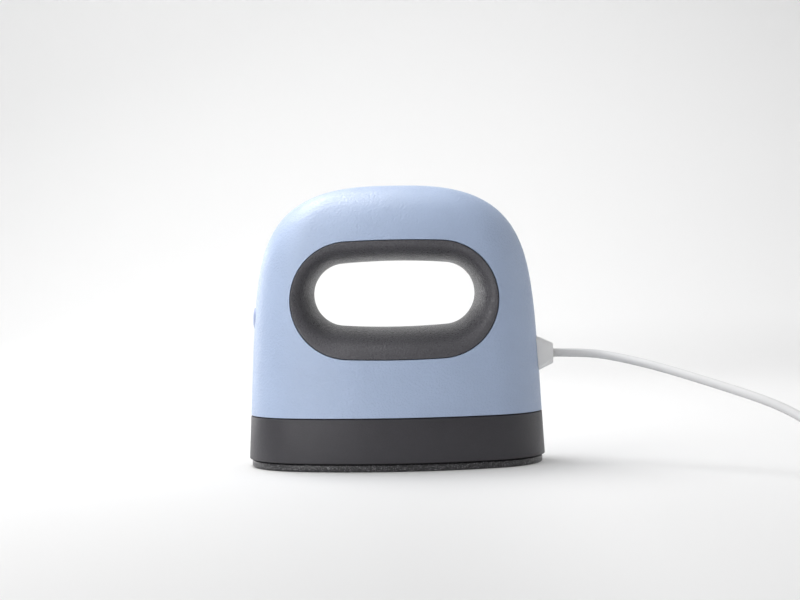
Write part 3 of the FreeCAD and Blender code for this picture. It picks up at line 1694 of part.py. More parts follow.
def make_free_cord():
    """Makes the cord's two free stretches, the coil of the rest and the tie about the coil."""
    tube_piece("power_cord", [CORD_ROUTE], size("cord_radius"))
    tube_piece("plug_lead", [PLUG_ROUTE], size("cord_radius"))
    coil = new_body("cord_coil")
    half_width = "((coil_columns - 1) * coil_pitch / 2 + cord_radius)"
    height = "(2 * cord_radius * coil_layers)"
    section = body_sketch(
        coil, "coil_section", "XZ_Plane", ("coil_radius", f"coil_lift + {height} / 2", "0")
    )
    add_rectangle(section, f"2 * {half_width}", height)
    upright = next(item for item in coil.Origin.OriginFeatures if item.Role == "Z_Axis")
    wound = coil.newObject("PartDesign::Revolution", "coil_wound")
    wound.Profile = section
    wound.ReferenceAxis = (upright, [""])
    wound.Angle = 360
    document.recompute()
    rounding = coil.newObject("PartDesign::Fillet", "coil_rounding")
    rounding.Base = (wound, [f"Edge{number + 1}" for number in rim_edges(wound.Shape)])
    bind(rounding, "Radius", "coil_corner")
    document.recompute()
    bind_position(coil, "Placement", ("coil_x", "coil_y", "0"))

    tie = new_body("cord_tie")
    top = f"coil_lift + {height} + tie_wall"
    frame = body_sketch(
        tie, "tie_frame", "XZ_Plane",
        ("(tie_inner + tie_outer) / 2", f"({top}) / 2", "-tie_half_width"),
    )
    add_rectangle(frame, "tie_outer - tie_inner + 2 * tie_wall", top)
    add_rectangle(frame, "tie_outer - tie_inner", f"{top} - 2 * tie_wall")
    pad(tie, frame, "2 * tie_half_width")
    tie.Placement = FreeCAD.Placement(
        FreeCAD.Vector(size("coil_x"), size("coil_y"), 0),
        FreeCAD.Rotation(UP, size("tie_azimuth")),
    )


def rim_edges(shape):
    """Returns the places, in a shape's list of edges, of those that are full circles."""
    places = []
    for place, edge in enumerate(shape.Edges):
        closed = edge.isClosed() and isinstance(edge.Curve, Part.Circle)
        if closed:
            places.append(place)
    return places


def make_cord_boot(outer_form):
    """Makes the moulded boot: a bevelled pyramid outside the shell, a neck, a flange, a sleeve."""
    pyramid = document.addObject("Part::Loft", "boot_pyramid")
    outlines = []
    for end in ("root", "tip"):
        outline = document.addObject("Sketcher::SketchObject", f"boot_{end}_outline")
        outline.Placement = FreeCAD.Placement(
            FreeCAD.Vector(),
            FreeCAD.Rotation(FreeCAD.Vector(0, 1, 0), UP, FreeCAD.Vector(1, 0, 0), "XYZ"),
        )
        bind(outline, "Placement.Base.x", f"boot_{end}")
        bind(outline, "Placement.Base.z", "cord_height")
        add_rectangle(outline, f"2 * boot_{end}_half_width", f"2 * boot_{end}_half_height")
        outlines.append(outline)
    pyramid.Sections = outlines
    pyramid.Solid = True
    pyramid.Ruled = True
    document.recompute()
    slanted = [
        (number, size("boot_bevel"), size("boot_bevel"))
        for number, edge in enumerate(pyramid.Shape.Edges, start=1)
        if edge.BoundBox.XLength > size("boot_bevel")
    ]
    bevelled = document.addObject("Part::Chamfer", "boot_bevelled")
    bevelled.Base = pyramid
    bevelled.Edges = slanted

    def about_cord(name, x_range, word):
        return block(
            name, x_range, (f"-{word}_half_width", f"{word}_half_width"),
            (f"cord_height - {word}_half_height", f"cord_height + {word}_half_height"),
        )

    outside = cut("boot_outside", bevelled, [outer_form])
    neck = about_cord("boot_neck", ("boot_flange_left", "boot_neck_end"), "boot_neck")
    flange = about_cord("boot_flange", ("boot_flange_left", "boot_flange_right"), "boot_flange")
    place = ("0", "cord_height")
    sleeve = cone(
        "boot_sleeve", "x", ("boot_sleeve_tip_radius", "boot_sleeve_radius"), "boot_sleeve_end",
        "boot_flange_left", place,
    )
    bore = rod(
        "boot_bore", "x", "cord_radius", "boot_sleeve_end - cut_excess", "boot_tip + cut_excess",
        place,
    )
    blank = fuse("boot_blank", [outside, neck, flange, sleeve])
    keep("cord_boot", cut("cord_boot", blank, [bore]))


def make_cord_inside():
    """Makes the cord's end inside the housing, the crimp on it and the two mains leads."""
    place = ("0", "cord_height")
    keep("cord_tail", rod("cord_tail", "x", "cord_radius", "tail_start", "boot_tip", place))
    crimp = rod("crimp_blank", "x", "crimp_radius", "crimp_start", "boot_sleeve_end", place)
    bore = rod(
        "crimp_bore", "x", "cord_radius", "crimp_start - cut_excess",
        "boot_sleeve_end + cut_excess", place,
    )
    keep("cord_crimp", cut("cord_crimp", crimp, [bore]))
    tail = size("tail_start")
    height = size("cord_height")
    pole_x = size("(inlet_block_left + inlet_block_right) / 2")
    pole_z = size("inlet_block_top - inlet_lead_entry")
    middle_x = (tail + pole_x) / 2 - size("lead_sag_shift")
    for label, side in (("live_lead", -1), ("neutral_lead", 1)):
        apart = side * size("lead_spacing")
        pole_y = side * size("inlet_pole_y")
        route = [
            (tail, apart, height),
            (tail - size("lead_straight"), apart, height),
            (middle_x, (apart + pole_y) / 2, height + size("lead_sag_rise")),
            (pole_x, pole_y, height),
            (pole_x, pole_y, pole_z),
        ]
        tube_piece(label, [route], size("lead_radius"))


def make_leads():
    """Makes the leads of the heater, the sensor and the fuse, and the flat control ribbon."""
    leg = size("element_leg")
    sleeve = size("sleeve_end")
    rise = size("slot_centre")
    height = size("element_height")
    port = size("heater_port_z")
    routes = []
    for side in SIDES:
        y = side * leg
        routes.append(
            [
                (sleeve, y, height),
                (rise, y, height),
                (rise, y, port),
                (size("heater_block_left + heater_lead_entry"), y, port),
            ]
        )
    tube_piece("heater_leads", routes, size("heater_lead_radius"))

    sensor_z = size("block_top + sensor_radius")
    offset = size("lead_hole_offset")
    end = size("sensor_half_length")
    routes = []
    for side in SIDES:
        x = size(f"sensor_x + {side} * sensor_lead_spacing")
        y = end + offset
        routes.append([(x, end, sensor_z), (x, y, sensor_z), (x, y, size("board_bottom"))])
    tube_piece("sensor_leads", routes, size("sensor_lead_radius"))

    fuse_z = size("block_top + fuse_radius")
    end = size("fuse_half_length")
    x = size("fuse_x")
    routes = []
    for side in SIDES:
        y = side * (end + offset)
        routes.append([(x, side * end, fuse_z), (x, y, fuse_z), (x, y, size("board_bottom"))])
    tube_piece("fuse_leads", routes, size("signal_lead_radius"))
    make_ribbon()


def make_ribbon():
    """Makes the flat ribbon from the main board's header to the control board's socket."""
    start_x = size("header_x")
    start_y = size("header_y - ribbon_start_offset")
    start_z = size("header_top")
    bend = [size(f"ribbon_bend_{axis}") for axis in "xyz"]
    end_x = size("ribbon_end_x")
    wires = []
    for wire in range(RIBBON_WIRES):
        spread = (wire - (RIBBON_WIRES - 1) / 2) * size("ribbon_pitch")
        points = [
            (start_x, start_y + spread, start_z),
            (start_x, start_y + spread, start_z + size("ribbon_rise")),
            (bend[0], bend[1] + spread, bend[2]),
            (end_x, spread, size("ribbon_low_z")),
            (end_x, spread, size("socket_bottom")),
        ]
        wires.append(points)
    tube_piece("control_ribbon", wires, size("signal_lead_radius"))


def make_plug():
    """Makes the two-blade plug, which lies on its broad side at the end of the cord."""
    turned = FreeCAD.Placement(
        FreeCAD.Vector(size("plug_x"), size("plug_y"), size("plug_axis_height")),
        FreeCAD.Rotation(UP, 90),
    )
    back = "plug_relief_length"
    face = "plug_relief_length + plug_length"
    case = document.addObject("Part::Loft", "plug_case")
    outlines = []
    for word, x, inset in (("back", back, "plug_face_inset"), ("face", face, "0")):
        outline = document.addObject("Sketcher::SketchObject", f"plug_{word}_outline")
        outline.Placement = FreeCAD.Placement(
            FreeCAD.Vector(),
            FreeCAD.Rotation(FreeCAD.Vector(0, 1, 0), UP, FreeCAD.Vector(1, 0, 0), "XYZ"),
        )
        bind(outline, "Placement.Base.x", x)
        broad = f"2 * (plug_half_width - {inset})"
        add_rectangle(outline, broad, f"2 * (plug_axis_height - {inset})")
        outlines.append(outline)
    case.Sections = outlines
    case.Solid = True
    case.Ruled = True
    document.recompute()
    long_edges = [
        (number, size("plug_corner"), size("plug_corner"))
        for number, edge in enumerate(case.Shape.Edges, start=1)
        if edge.BoundBox.XLength > size("plug_corner")
    ]
    rounded = document.addObject("Part::Fillet", "plug_rounded")
    rounded.Base = case
    rounded.Edges = long_edges
    relief_radii = ("plug_relief_radius", "plug_relief_root_radius")
    relief = cone("plug_relief", "x", relief_radii, "0", back, ("0", "0"))
    blades = []
    roots = []
    for side in SIDES:
        y = f"{side} * blade_spacing / 2"
        y_range = (f"{y} - blade_thickness / 2", f"{y} + blade_thickness / 2")
        x_range = (f"{face} - blade_root", f"{face} + blade_length")
        z_range = ("-blade_half_height", "blade_half_height")
        blades.append(block(f"blade_{side + 1}", x_range, y_range, z_range))
        roots.append(block(f"blade_root_{side + 1}", x_range, y_range, z_range))
    body = cut("plug_body", fuse("plug_blank", [rounded, relief]), roots)
    body.Placement = turned
    keep("plug_body", body)
    pins = group("plug_pins", blades)
    pins.Placement = turned
    keep("plug_pins", pins)


# ---------------------------------------------------------------------------------------------
# The whole press


def check_document():
    """Stops if a feature failed or a sub-part's shape is missing or wrong."""
    for feature in document.Objects:
        if "Invalid" in feature.State or "Error" in feature.State:
            raise RuntimeError(f"{feature.Name} is {feature.State}")
    for piece in pieces:
        if piece.Shape.isNull() or not piece.Shape.isValid():
            raise RuntimeError(f"{piece.Label} has no valid shape")
        if not piece.Shape.Solids:
            raise RuntimeError(f"{piece.Label} holds no solid")


def main():
    """Builds every sub-part and writes each to a STEP file of its own."""
    fill_sheet()
    outer_form = make_housing()
    make_base_skirt()
    make_heat_plate()
    make_heating_element()
    make_plate_seal()
    make_heat_shield()
    make_insulation_pad()
    make_plate_spacers()
    make_sensing()
    make_main_board()
    make_board_components()
    make_control_board()
    make_button()
    make_fixings()
    make_cord_boot(outer_form)
    make_cord_inside()
    make_leads()
    make_free_cord()
    make_plug()
    document.recompute()
    check_document()
    os.makedirs("parts", exist_ok=True)
    for piece in pieces:
        piece.Shape.exportStep(f"parts/{piece.Label}.step")
    print(f"{len(pieces)} sub-parts written")


main()
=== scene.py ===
"""Looks of a mini handheld heat press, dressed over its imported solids.

Everything is in metres, in the frame of the solids: the origin is the middle of the heating face,
+X points to the end that the mains cord leaves, +Y to the rear and +Z up.
"""

import logging
import math
from contextlib import contextmanager
from dataclasses import dataclass, replace
from enum import Enum
from typing import Any, Iterable, Iterator, Mapping, Optional, Sequence, Union

import bmesh
import bpy
import numpy as np
from mathutils import Matrix, Vector


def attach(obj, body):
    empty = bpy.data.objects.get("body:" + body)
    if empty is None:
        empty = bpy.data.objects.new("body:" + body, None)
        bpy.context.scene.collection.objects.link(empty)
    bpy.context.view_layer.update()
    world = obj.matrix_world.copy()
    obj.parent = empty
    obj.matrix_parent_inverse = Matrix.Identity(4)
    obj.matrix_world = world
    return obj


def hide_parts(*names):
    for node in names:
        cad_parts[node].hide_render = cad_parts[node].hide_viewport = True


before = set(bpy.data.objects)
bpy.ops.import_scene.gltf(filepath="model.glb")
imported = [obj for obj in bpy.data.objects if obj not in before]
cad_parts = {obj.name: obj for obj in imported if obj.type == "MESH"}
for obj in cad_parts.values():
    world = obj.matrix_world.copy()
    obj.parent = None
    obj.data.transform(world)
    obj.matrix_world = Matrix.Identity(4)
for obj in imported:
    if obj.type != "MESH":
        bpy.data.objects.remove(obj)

LOG = logging.getLogger("heat_press")
MM = 0.001
HOUSING = "housing"
BUTTON = "button"
QUARTER = math.pi / 2
TINY = 1e-9
CURVE_STEPS = 4000  # steps of an outline whose length is added up

Colour = tuple[float, float, float]
Point = tuple[float, float, float]
Span = tuple[float, float]


class Side(Enum):
    """Which half of the press a piece belongs to: its value is the sign of y there."""

    FRONT = -1
    REAR = 1


# ---------------------------------------------------------------------------------------------
# Node trees


class Tree:
    """Adds nodes to one shader or geometry tree."""

    def __init__(self, tree: bpy.types.NodeTree) -> None:
        """Args: tree: the tree that the nodes go into."""
        self.tree = tree

    def node(
        self,
        kind: str,
        settings: Optional[Mapping[str, Any]] = None,
        inputs: Optional[Mapping[Union[int, str], Any]] = None,
    ) -> bpy.types.Node:
        """Adds one node.

        Args:
            kind: the node's type.
            settings: the node's own settings, which are set first.
            inputs: a value or a link for each socket, by its name or place.

        Returns:
            The new node.
        """
        made = self.tree.nodes.new(kind)
        for name, setting in (settings or {}).items():
            setattr(made, name, setting)
        for key, given in (inputs or {}).items():
            source = given.socket if isinstance(given, Value) else given
            if isinstance(source, bpy.types.NodeSocket):
                self.tree.links.new(source, made.inputs[key])
            else:
                made.inputs[key].default_value = source
        return made

    def value(
        self,
        kind: str,
        output: Union[int, str],
        settings: Optional[Mapping[str, Any]] = None,
        inputs: Optional[Mapping[Union[int, str], Any]] = None,
    ) -> "Value":
        """Adds one node and returns one of its outputs, wrapped for maths."""
        return Value(self, self.node(kind, settings, inputs).outputs[output])

    def maths(self, operation: str, *operands: "Operand") -> "Value":
        """Adds a Math node on the operands and returns its result."""
        return self.value("ShaderNodeMath", 0, {"operation": operation}, dict(enumerate(operands)))


class Value:
    """A number in a tree: Python's operators on it add Math nodes."""

    def __init__(self, tree: Tree, socket: bpy.types.NodeSocket) -> None:
        """Args: tree: the tree of the socket. socket: the output that holds the number."""
        self.tree = tree
        self.socket = socket

    def __add__(self, other: "Operand") -> "Value":
        """Returns the sum."""
        return self.tree.maths("ADD", self, other)

    __radd__ = __add__

    def __sub__(self, other: "Operand") -> "Value":
        """Returns the difference."""
        return self.tree.maths("SUBTRACT", self, other)

    def __rsub__(self, other: "Operand") -> "Value":
        """Returns the other less this."""
        return self.tree.maths("SUBTRACT", other, self)

    def __mul__(self, other: "Operand") -> "Value":
        """Returns the product."""
        return self.tree.maths("MULTIPLY", self, other)

    __rmul__ = __mul__

    def __truediv__(self, other: "Operand") -> "Value":
        """Returns the quotient."""
        return self.tree.maths("DIVIDE", self, other)

    def __rtruediv__(self, other: "Operand") -> "Value":
        """Returns the other over this."""
        return self.tree.maths("DIVIDE", other, self)

    def least(self, other: "Operand") -> "Value":
        """Returns the smaller of the two."""
        return self.tree.maths("MINIMUM", self, other)

    def most(self, other: "Operand") -> "Value":
        """Returns the larger of the two."""
        return self.tree.maths("MAXIMUM", self, other)

    def above(self, other: "Operand") -> "Value":
        """Returns 1 where this is greater than the other, and 0 elsewhere."""
        return self.tree.maths("GREATER_THAN", self, other)

    def sign(self) -> "Value":
        """Returns -1, 0 or 1."""
        return self.tree.maths("SIGN", self)

    def size(self) -> "Value":
        """Returns the absolute value."""
        return self.tree.maths("ABSOLUTE", self)

    def sine(self) -> "Value":
        """Returns the sine."""
        return self.tree.maths("SINE", self)

    def cosine(self) -> "Value":
        """Returns the cosine."""
        return self.tree.maths("COSINE", self)

    def step(self, low: float, high: float) -> "Value":
        """Returns a smooth step from 0 at low to 1 at high."""
        settings = {"interpolation_type": "SMOOTHSTEP"}
        spans = {"From Min": low, "From Max": high}
        return self.tree.value("ShaderNodeMapRange", 0, settings, {"Value": self, **spans})


Operand = Union[Value, float]


# ---------------------------------------------------------------------------------------------
# Finishes

SOFT = (0.3, 0.7)  # a span of noise that gives patches with soft edges


class Shader(Tree):
    """The tree of one material, with the patterns that the finishes share."""

    def __init__(self, name: str) -> None:
        """Args: name: the material's name."""
        self.material = bpy.data.materials.new(name)
        self.material.use_nodes = True
        super().__init__(self.material.node_tree)
        self.tree.nodes.clear()
        self.place = self.node("ShaderNodeTexCoord").outputs["Object"]

    def noise(self, size: float, detail: float = 2.0, stretch: Point = (1, 1, 1)) -> Value:
        """Returns a noise whose features are about size metres across, from 0 to 1."""
        scaled = self.node("ShaderNodeMapping", None, {"Vector": self.place, "Scale": stretch})
        inputs = {"Vector": scaled.outputs[0], "Scale": 1 / size, "Detail": detail}
        return self.value("ShaderNodeTexNoise", 0, None, inputs)

    def cells(self, size: float) -> Value:
        """Returns the distance to the nearest of scattered points about size metres apart."""
        inputs = {"Vector": self.place, "Scale": 1 / size}
        return self.value("ShaderNodeTexVoronoi", 0, None, inputs)

    def blend(self, share: Operand, low: Any, high: Any) -> bpy.types.NodeSocket:
        """Mixes two colours."""
        inputs = {0: share, 6: _opaque(low), 7: _opaque(high)}
        return self.node("ShaderNodeMix", {"data_type": "RGBA"}, inputs).outputs[2]

    def bump(self, height: Value, depth: float) -> bpy.types.NodeSocket:
        """Turns a height from 0 to 1 into a bumped normal; depth is in metres."""
        inputs = {"Height": height, "Distance": depth, "Strength": 1.0}
        return self.node("ShaderNodeBump", None, inputs).outputs[0]

    def close(self, **sockets: Any) -> bpy.types.Material:
        """Ends the tree in a Principled shader.

        Args:
            sockets: the shader's sockets, with an underscore for each space of their names.

        Returns:
            The finished material.
        """
        inputs = {name.replace("_", " "): given for name, given in sockets.items()}
        shader = self.node("ShaderNodeBsdfPrincipled", None, inputs)
        self.node("ShaderNodeOutputMaterial", None, {"Surface": shader.outputs[0]})
        return self.material


def _opaque(colour: Any) -> Any:
    """Returns a colour of three numbers with an alpha of 1, and anything else as it is."""
    return (*colour, 1.0) if isinstance(colour, tuple) else colour


def _scaled(colour: Colour, share: float) -> Colour:
    """Returns a colour made lighter or darker by a share."""
    return tuple(min(channel * share, 1.0) for channel in colour)


@dataclass(frozen=True)
class Moulded:
    """Moulded plastic or rubber: a fine eroded grain, faint flow marks and handling smudges."""

    FLOW_SIZE = 14 * MM
    SMUDGE_SIZE = 9 * MM
    SMUDGE_STRETCH = (1.0, 1.0, 0.6)
    SMUDGE_ROUGHNESS = 0.05
    COARSENESS = 3.2  # size of the coarse grain over that of the fine
    FINE_SHARE = 0.75
    DARK_SPECK = 0.45
    PALE_SPECK = 2.6
    SHEEN_ROUGHNESS = 0.4

    name: str
    colour: Colour
    roughness: float = 0.45
    grain_size: float = 0.45 * MM
    grain_depth: float = 0.012 * MM
    mottling: float = 0.03
    specks: float = 0.0
    gloss: float = 0.5
    sparkle: float = 0.08
    sheen: float = 0.0

    def make(self) -> bpy.types.Material:
        """Builds the material."""
        shader = Shader(self.name)
        flow = shader.noise(self.FLOW_SIZE, 3.0).step(*SOFT)
        fine = shader.noise(self.grain_size).step(0.32, 0.68)
        coarse = shader.noise(self.grain_size * self.COARSENESS).step(*SOFT)
        smudges = shader.noise(self.SMUDGE_SIZE, 4.0, self.SMUDGE_STRETCH).step(0.42, 0.72)
        darker = _scaled(self.colour, 1 - self.mottling)
        lighter = _scaled(self.colour, 1 + self.mottling)
        colour = shader.blend(flow, darker, lighter)
        if self.specks:
            flecks = 1 - shader.cells(self.grain_size).step(0.15, 0.5)
            dark, pale = (_scaled(self.colour, by) for by in (self.DARK_SPECK, self.PALE_SPECK))
            colour = shader.blend(fine * self.specks, colour, dark)
            colour = shader.blend(flecks * self.specks, colour, pale)
        least = self.roughness - self.sparkle / 2
        grain = fine * self.FINE_SHARE + coarse * (1 - self.FINE_SHARE)
        return shader.close(
            Base_Color=colour,
            Roughness=smudges * self.SMUDGE_ROUGHNESS + fine * self.sparkle + least,
            Normal=shader.bump(grain, self.grain_depth),
            Specular_IOR_Level=self.gloss,
            Sheen_Weight=self.sheen,
            Sheen_Roughness=self.SHEEN_ROUGHNESS,
        )


@dataclass(frozen=True)
class SpeckledCoating:
    """A dark non-stick coating, sprayed on cast metal: rough, with pale and black specks."""

    GRIT_SIZE = 0.40 * MM
    FLECK_SIZE = 0.50 * MM
    CLUSTER_SIZE = 1.0 * MM
    BLACK_SPECK = 0.15
    GRIT_DEPTH = 0.04 * MM

    name: str
    colour: Colour
    speck: Colour
    roughness: float = 0.55

    def make(self) -> bpy.types.Material:
        """Builds the material."""
        shader = Shader(self.name)
        grit = shader.noise(self.GRIT_SIZE)
        flecks = 1 - shader.cells(self.FLECK_SIZE).step(0.16, 0.42)
        flecks = flecks * shader.noise(self.CLUSTER_SIZE, 1.0).step(0.35, 0.55)
        black = _scaled(self.colour, self.BLACK_SPECK)
        base = shader.blend(grit.step(0.38, 0.62), black, self.colour)
        return shader.close(
            Base_Color=shader.blend(flecks, base, self.speck),
            Roughness=self.roughness + grit * 0.15 - flecks * 0.2,
            Normal=shader.bump(grit * 0.6 + flecks * 0.4, self.GRIT_DEPTH),
        )


@dataclass(frozen=True)
class Plated:
    """Bare or plated metal, drawn or brushed along one axis, with faint stains."""

    LINE_SIZE = 0.25 * MM
    LINE_DEPTH = 0.002 * MM
    LINE_ROUGHNESS = 0.12
    STAIN_SIZE = 5 * MM
    STAIN_SHADE = 0.92
    STAIN_ROUGHNESS = 0.05

    name: str
    colour: Colour
    roughness: float = 0.3
    along: Point = (1.0, 1.0, 0.15)

    def make(self) -> bpy.types.Material:
        """Builds the material."""
        shader = Shader(self.name)
        lines = shader.noise(self.LINE_SIZE, 2.0, self.along)
        stains = shader.noise(self.STAIN_SIZE, 3.0).step(0.4, 0.7)
        least = self.roughness - self.LINE_ROUGHNESS / 2
        return shader.close(
            Base_Color=shader.blend(stains, self.colour, _scaled(self.colour, self.STAIN_SHADE)),
            Metallic=1.0,
            Roughness=lines * self.LINE_ROUGHNESS + stains * self.STAIN_ROUGHNESS + least,
            Normal=shader.bump(lines, self.LINE_DEPTH),
        )


@dataclass(frozen=True)
class Felted:
    """Needled felt of pale mineral fibre."""

    FIBRE_SIZE = 0.4 * MM
    FIBRE_STRETCH = (1.0, 0.35, 1.0)
    TUFT_SIZE = 2.5 * MM
    TUFT_SHADE = 0.85
    DEPTH = 0.15 * MM
    ROUGHNESS = 0.95

    name: str
    colour: Colour

    def make(self) -> bpy.types.Material:
        """Builds the material."""
        shader = Shader(self.name)
        fibres = shader.noise(self.FIBRE_SIZE, 5.0, self.FIBRE_STRETCH)
        tufts = shader.noise(self.TUFT_SIZE, 3.0)
        darker = _scaled(self.colour, self.TUFT_SHADE)
        return shader.close(
            Base_Color=shader.blend(tufts.step(*SOFT), darker, self.colour),
            Roughness=self.ROUGHNESS,
            Normal=shader.bump(fibres + tufts, self.DEPTH),
        )


@dataclass(frozen=True)
class Board:
    """Circuit board: lacquered glass fibre with a faint weave."""

    THREAD_SIZE = 0.6 * MM
    THREAD_STRETCH = 0.1
    WEAVE_SHADE = 0.8
    WEAVE_DEPTH = 0.01 * MM

    name: str
    colour: Colour

    def make(self) -> bpy.types.Material:
        """Builds the material."""
        shader = Shader(self.name)
        across = shader.noise(self.THREAD_SIZE, 1.0, (1.0, self.THREAD_STRETCH, 1.0))
        along = shader.noise(self.THREAD_SIZE, 1.0, (self.THREAD_STRETCH, 1.0, 1.0))
        weave = (across + along) * 0.5
        darker = _scaled(self.colour, self.WEAVE_SHADE)
        return shader.close(
            Base_Color=shader.blend(weave.step(0.35, 0.65), darker, self.colour),
            Roughness=weave * 0.1 + 0.28,
            Normal=shader.bump(weave, self.WEAVE_DEPTH),
        )


@dataclass(frozen=True)
class Clear:
    """Clear glass or plastic with a slight tint."""

    HAZE_SIZE = 2 * MM
    ALPHA = 0.4
    IOR = 1.5

    name: str
    colour: Colour

    def make(self) -> bpy.types.Material:
        """Builds the material."""
        shader = Shader(self.name)
        haze = shader.noise(self.HAZE_SIZE, 3.0)
        return shader.close(
            Base_Color=_opaque(self.colour), Roughness=haze * 0.08 + 0.03, Alpha=self.ALPHA,
            IOR=self.IOR,
        )


SHELL_BLUE = Moulded(
    "shell_blue", (0.410, 0.508, 0.703), roughness=0.43, grain_size=0.8 * MM,
    grain_depth=0.09 * MM, mottling=0.015, gloss=0.75, sparkle=0.3,
)
BUTTON_BLUE = Moulded(
    "button_blue", (0.36, 0.42, 0.62), roughness=0.38, grain_size=0.5 * MM,
    grain_depth=0.012 * MM, mottling=0.015,
)
GRIP_GREY = Moulded(
    "grip_grey", (0.082, 0.080, 0.090), roughness=0.40, grain_size=0.8 * MM,
    grain_depth=0.12 * MM, mottling=0.06, specks=0.16, sparkle=0.3, sheen=0.25,
)
SKIRT_CHARCOAL = Moulded(
    "skirt_charcoal", (0.038, 0.036, 0.043), roughness=0.43, grain_size=0.5 * MM,
    grain_depth=0.03 * MM, mottling=0.05, specks=0.05,
)
PLATE_COATING = SpeckledCoating(
    "plate_coating", (0.060, 0.058, 0.064), speck=(0.34, 0.34, 0.35), roughness=0.30
)
BOOT_WHITE = Moulded(
    "boot_white", (0.93, 0.93, 0.93), roughness=0.42, grain_size=0.8 * MM,
    grain_depth=0.008 * MM, mottling=0.01,
)
CORD_WHITE = Moulded(
    "cord_white", (0.69, 0.69, 0.695), roughness=0.65, grain_size=0.9 * MM,
    grain_depth=0.010 * MM, mottling=0.012, gloss=0.2,
)
TIE_BLACK = Moulded(
    "tie_black", (0.018, 0.018, 0.02), roughness=0.5, grain_size=0.4 * MM,
    grain_depth=0.03 * MM, mottling=0.1,
)
SCREW_STEEL = Plated("screw_steel", (0.58, 0.57, 0.55), 0.32)
SHEET_STEEL = Plated("sheet_steel", (0.55, 0.55, 0.55), 0.34, (0.12, 1.0, 1.0))
BRASS = Plated("brass", (0.78, 0.62, 0.34), 0.26, (1.0, 0.12, 1.0))

INNER_FINISHES = {
    Board("board_green", (0.02, 0.16, 0.07)): ("main_board", "control_board"),
    Moulded("terminal_green", (0.05, 0.30, 0.12), 0.4): ("inlet_terminals", "heater_terminals"),
    Moulded("case_black", (0.02, 0.02, 0.022), 0.45): (
        "controller_chip", "ribbon_header", "ribbon_socket", "supply_module", "switch_body",
        "switch_plunger",
    ),
    Moulded("relay_blue", (0.05, 0.18, 0.45), 0.3): ("power_relay",),
    Moulded("film_yellow", (0.72, 0.50, 0.07), 0.4): ("filter_capacitor",),
    Moulded("can_blue", (0.08, 0.10, 0.25), 0.35): ("smoothing_capacitor", "thermal_fuse"),
    # Black seal: where it shows in the gap between skirt and plate, its black is also painted shade
    # for the thin dark line there.
    Moulded("silicone_black", (0.012, 0.012, 0.013), 0.5): ("plate_seal",),
    Moulded("ceramic_white", (0.80, 0.78, 0.73), 0.6): ("plate_spacers", "thermistor"),
    Moulded("lead_brown", (0.20, 0.07, 0.03), 0.4): ("live_lead",),
    Moulded("lead_blue", (0.04, 0.12, 0.42), 0.4): ("neutral_lead",),
    Moulded("lead_white", (0.72, 0.72, 0.70), 0.6): ("heater_leads", "sensor_leads", "fuse_leads"),
    Moulded("ribbon_grey", (0.35, 0.35, 0.37), 0.45): ("control_ribbon",),
    Clear("fuse_glass", (0.88, 0.92, 0.93)): ("mains_fuse", "indicator_leds"),
    Felted("felt_white", (0.78, 0.77, 0.72)): ("insulation_pad",),
    SHEET_STEEL: (
        "heat_shield", "board_bracket", "sensor_clip", "fuse_clip", "cord_crimp",
        "heating_element", "element_terminals",
    ),
    SCREW_STEEL: (
        "board_screws", "bracket_screws", "clip_screws", "control_screws", "plate_screws",
        "skirt_screws",
    ),
    BRASS: ("terminal_sleeves", "fuse_holders"),
    CORD_WHITE: ("cord_tail",),
}


class Palette:
    """Hands out each finish's material and makes it once."""

    def __init__(self) -> None:
        """Starts with no material made."""
        self._made: dict[Any, bpy.types.Material] = {}

    def material(self, finish: Any) -> bpy.types.Material:
        """Returns the material of a finish."""
        if finish not in self._made:
            self._made[finish] = finish.make()
        return self._made[finish]

    def dress(self, thing: bpy.types.Object, finish: Any) -> None:
        """Gives a piece or a solid one finish all over."""
        thing.data.materials.clear()
        thing.data.materials.append(self.material(finish))
        if thing.type == "MESH":
            thing.data.polygons.foreach_set("material_index", [0] * len(thing.data.polygons))


PALETTE = Palette()


# ---------------------------------------------------------------------------------------------
# Meshes

JOIN_DISTANCE = 0.0005 * MM  # points of a drawn mesh that are nearer than this are one
FACET_DISTANCE = 0.002 * MM  # and so are those of a solid's facets
FLAT_ANGLE = 0.6  # facets of a solid that turn by less than this are one face, in degrees


def new_piece(name: str, mesh: bpy.types.ID) -> bpy.types.Object:
    """Adds a piece to the scene, with its place in its data."""
    piece = bpy.data.objects.new(name, mesh)
    bpy.context.scene.collection.objects.link(piece)
    return piece


def settle(piece: bpy.types.Object) -> None:
    """Turns a piece's modifiers into plain mesh."""
    depsgraph = bpy.context.evaluated_depsgraph_get()
    mesh = bpy.data.meshes.new_from_object(piece.evaluated_get(depsgraph), depsgraph=depsgraph)
    piece.modifiers.clear()
    piece.data = mesh


@contextmanager
def reshaping(mesh: bpy.types.Mesh) -> Iterator[bmesh.types.BMesh]:
    """Opens a mesh for edits and writes them back to it at the end."""
    work = bmesh.new()
    work.from_mesh(mesh)
    yield work
    work.to_mesh(mesh)
    work.free()


def soften(piece: bpy.types.Object, angle: float = 35.0) -> None:
    """Shades a mesh smooth, but sharp across edges that turn by more than an angle."""
    piece.data.shade_smooth()
    piece.data.set_sharp_from_angle(angle=math.radians(angle))


def declare(
    piece: bpy.types.Object, body: str, replaced: Iterable[str] = ()
) -> bpy.types.Object:
    """Says what a piece rides on and the solids that it stands for.

    Args:
        piece: the finished piece.
        body: the moving body that carries it.
        replaced: names of the solids that it hides.

    Returns:
        The piece.
    """
    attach(piece, body)
    replaced = tuple(replaced)
    if replaced:
        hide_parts(*replaced)
    LOG.info("%s: %s, in place of %s", piece.name, body, ", ".join(replaced) or "nothing")
    return piece


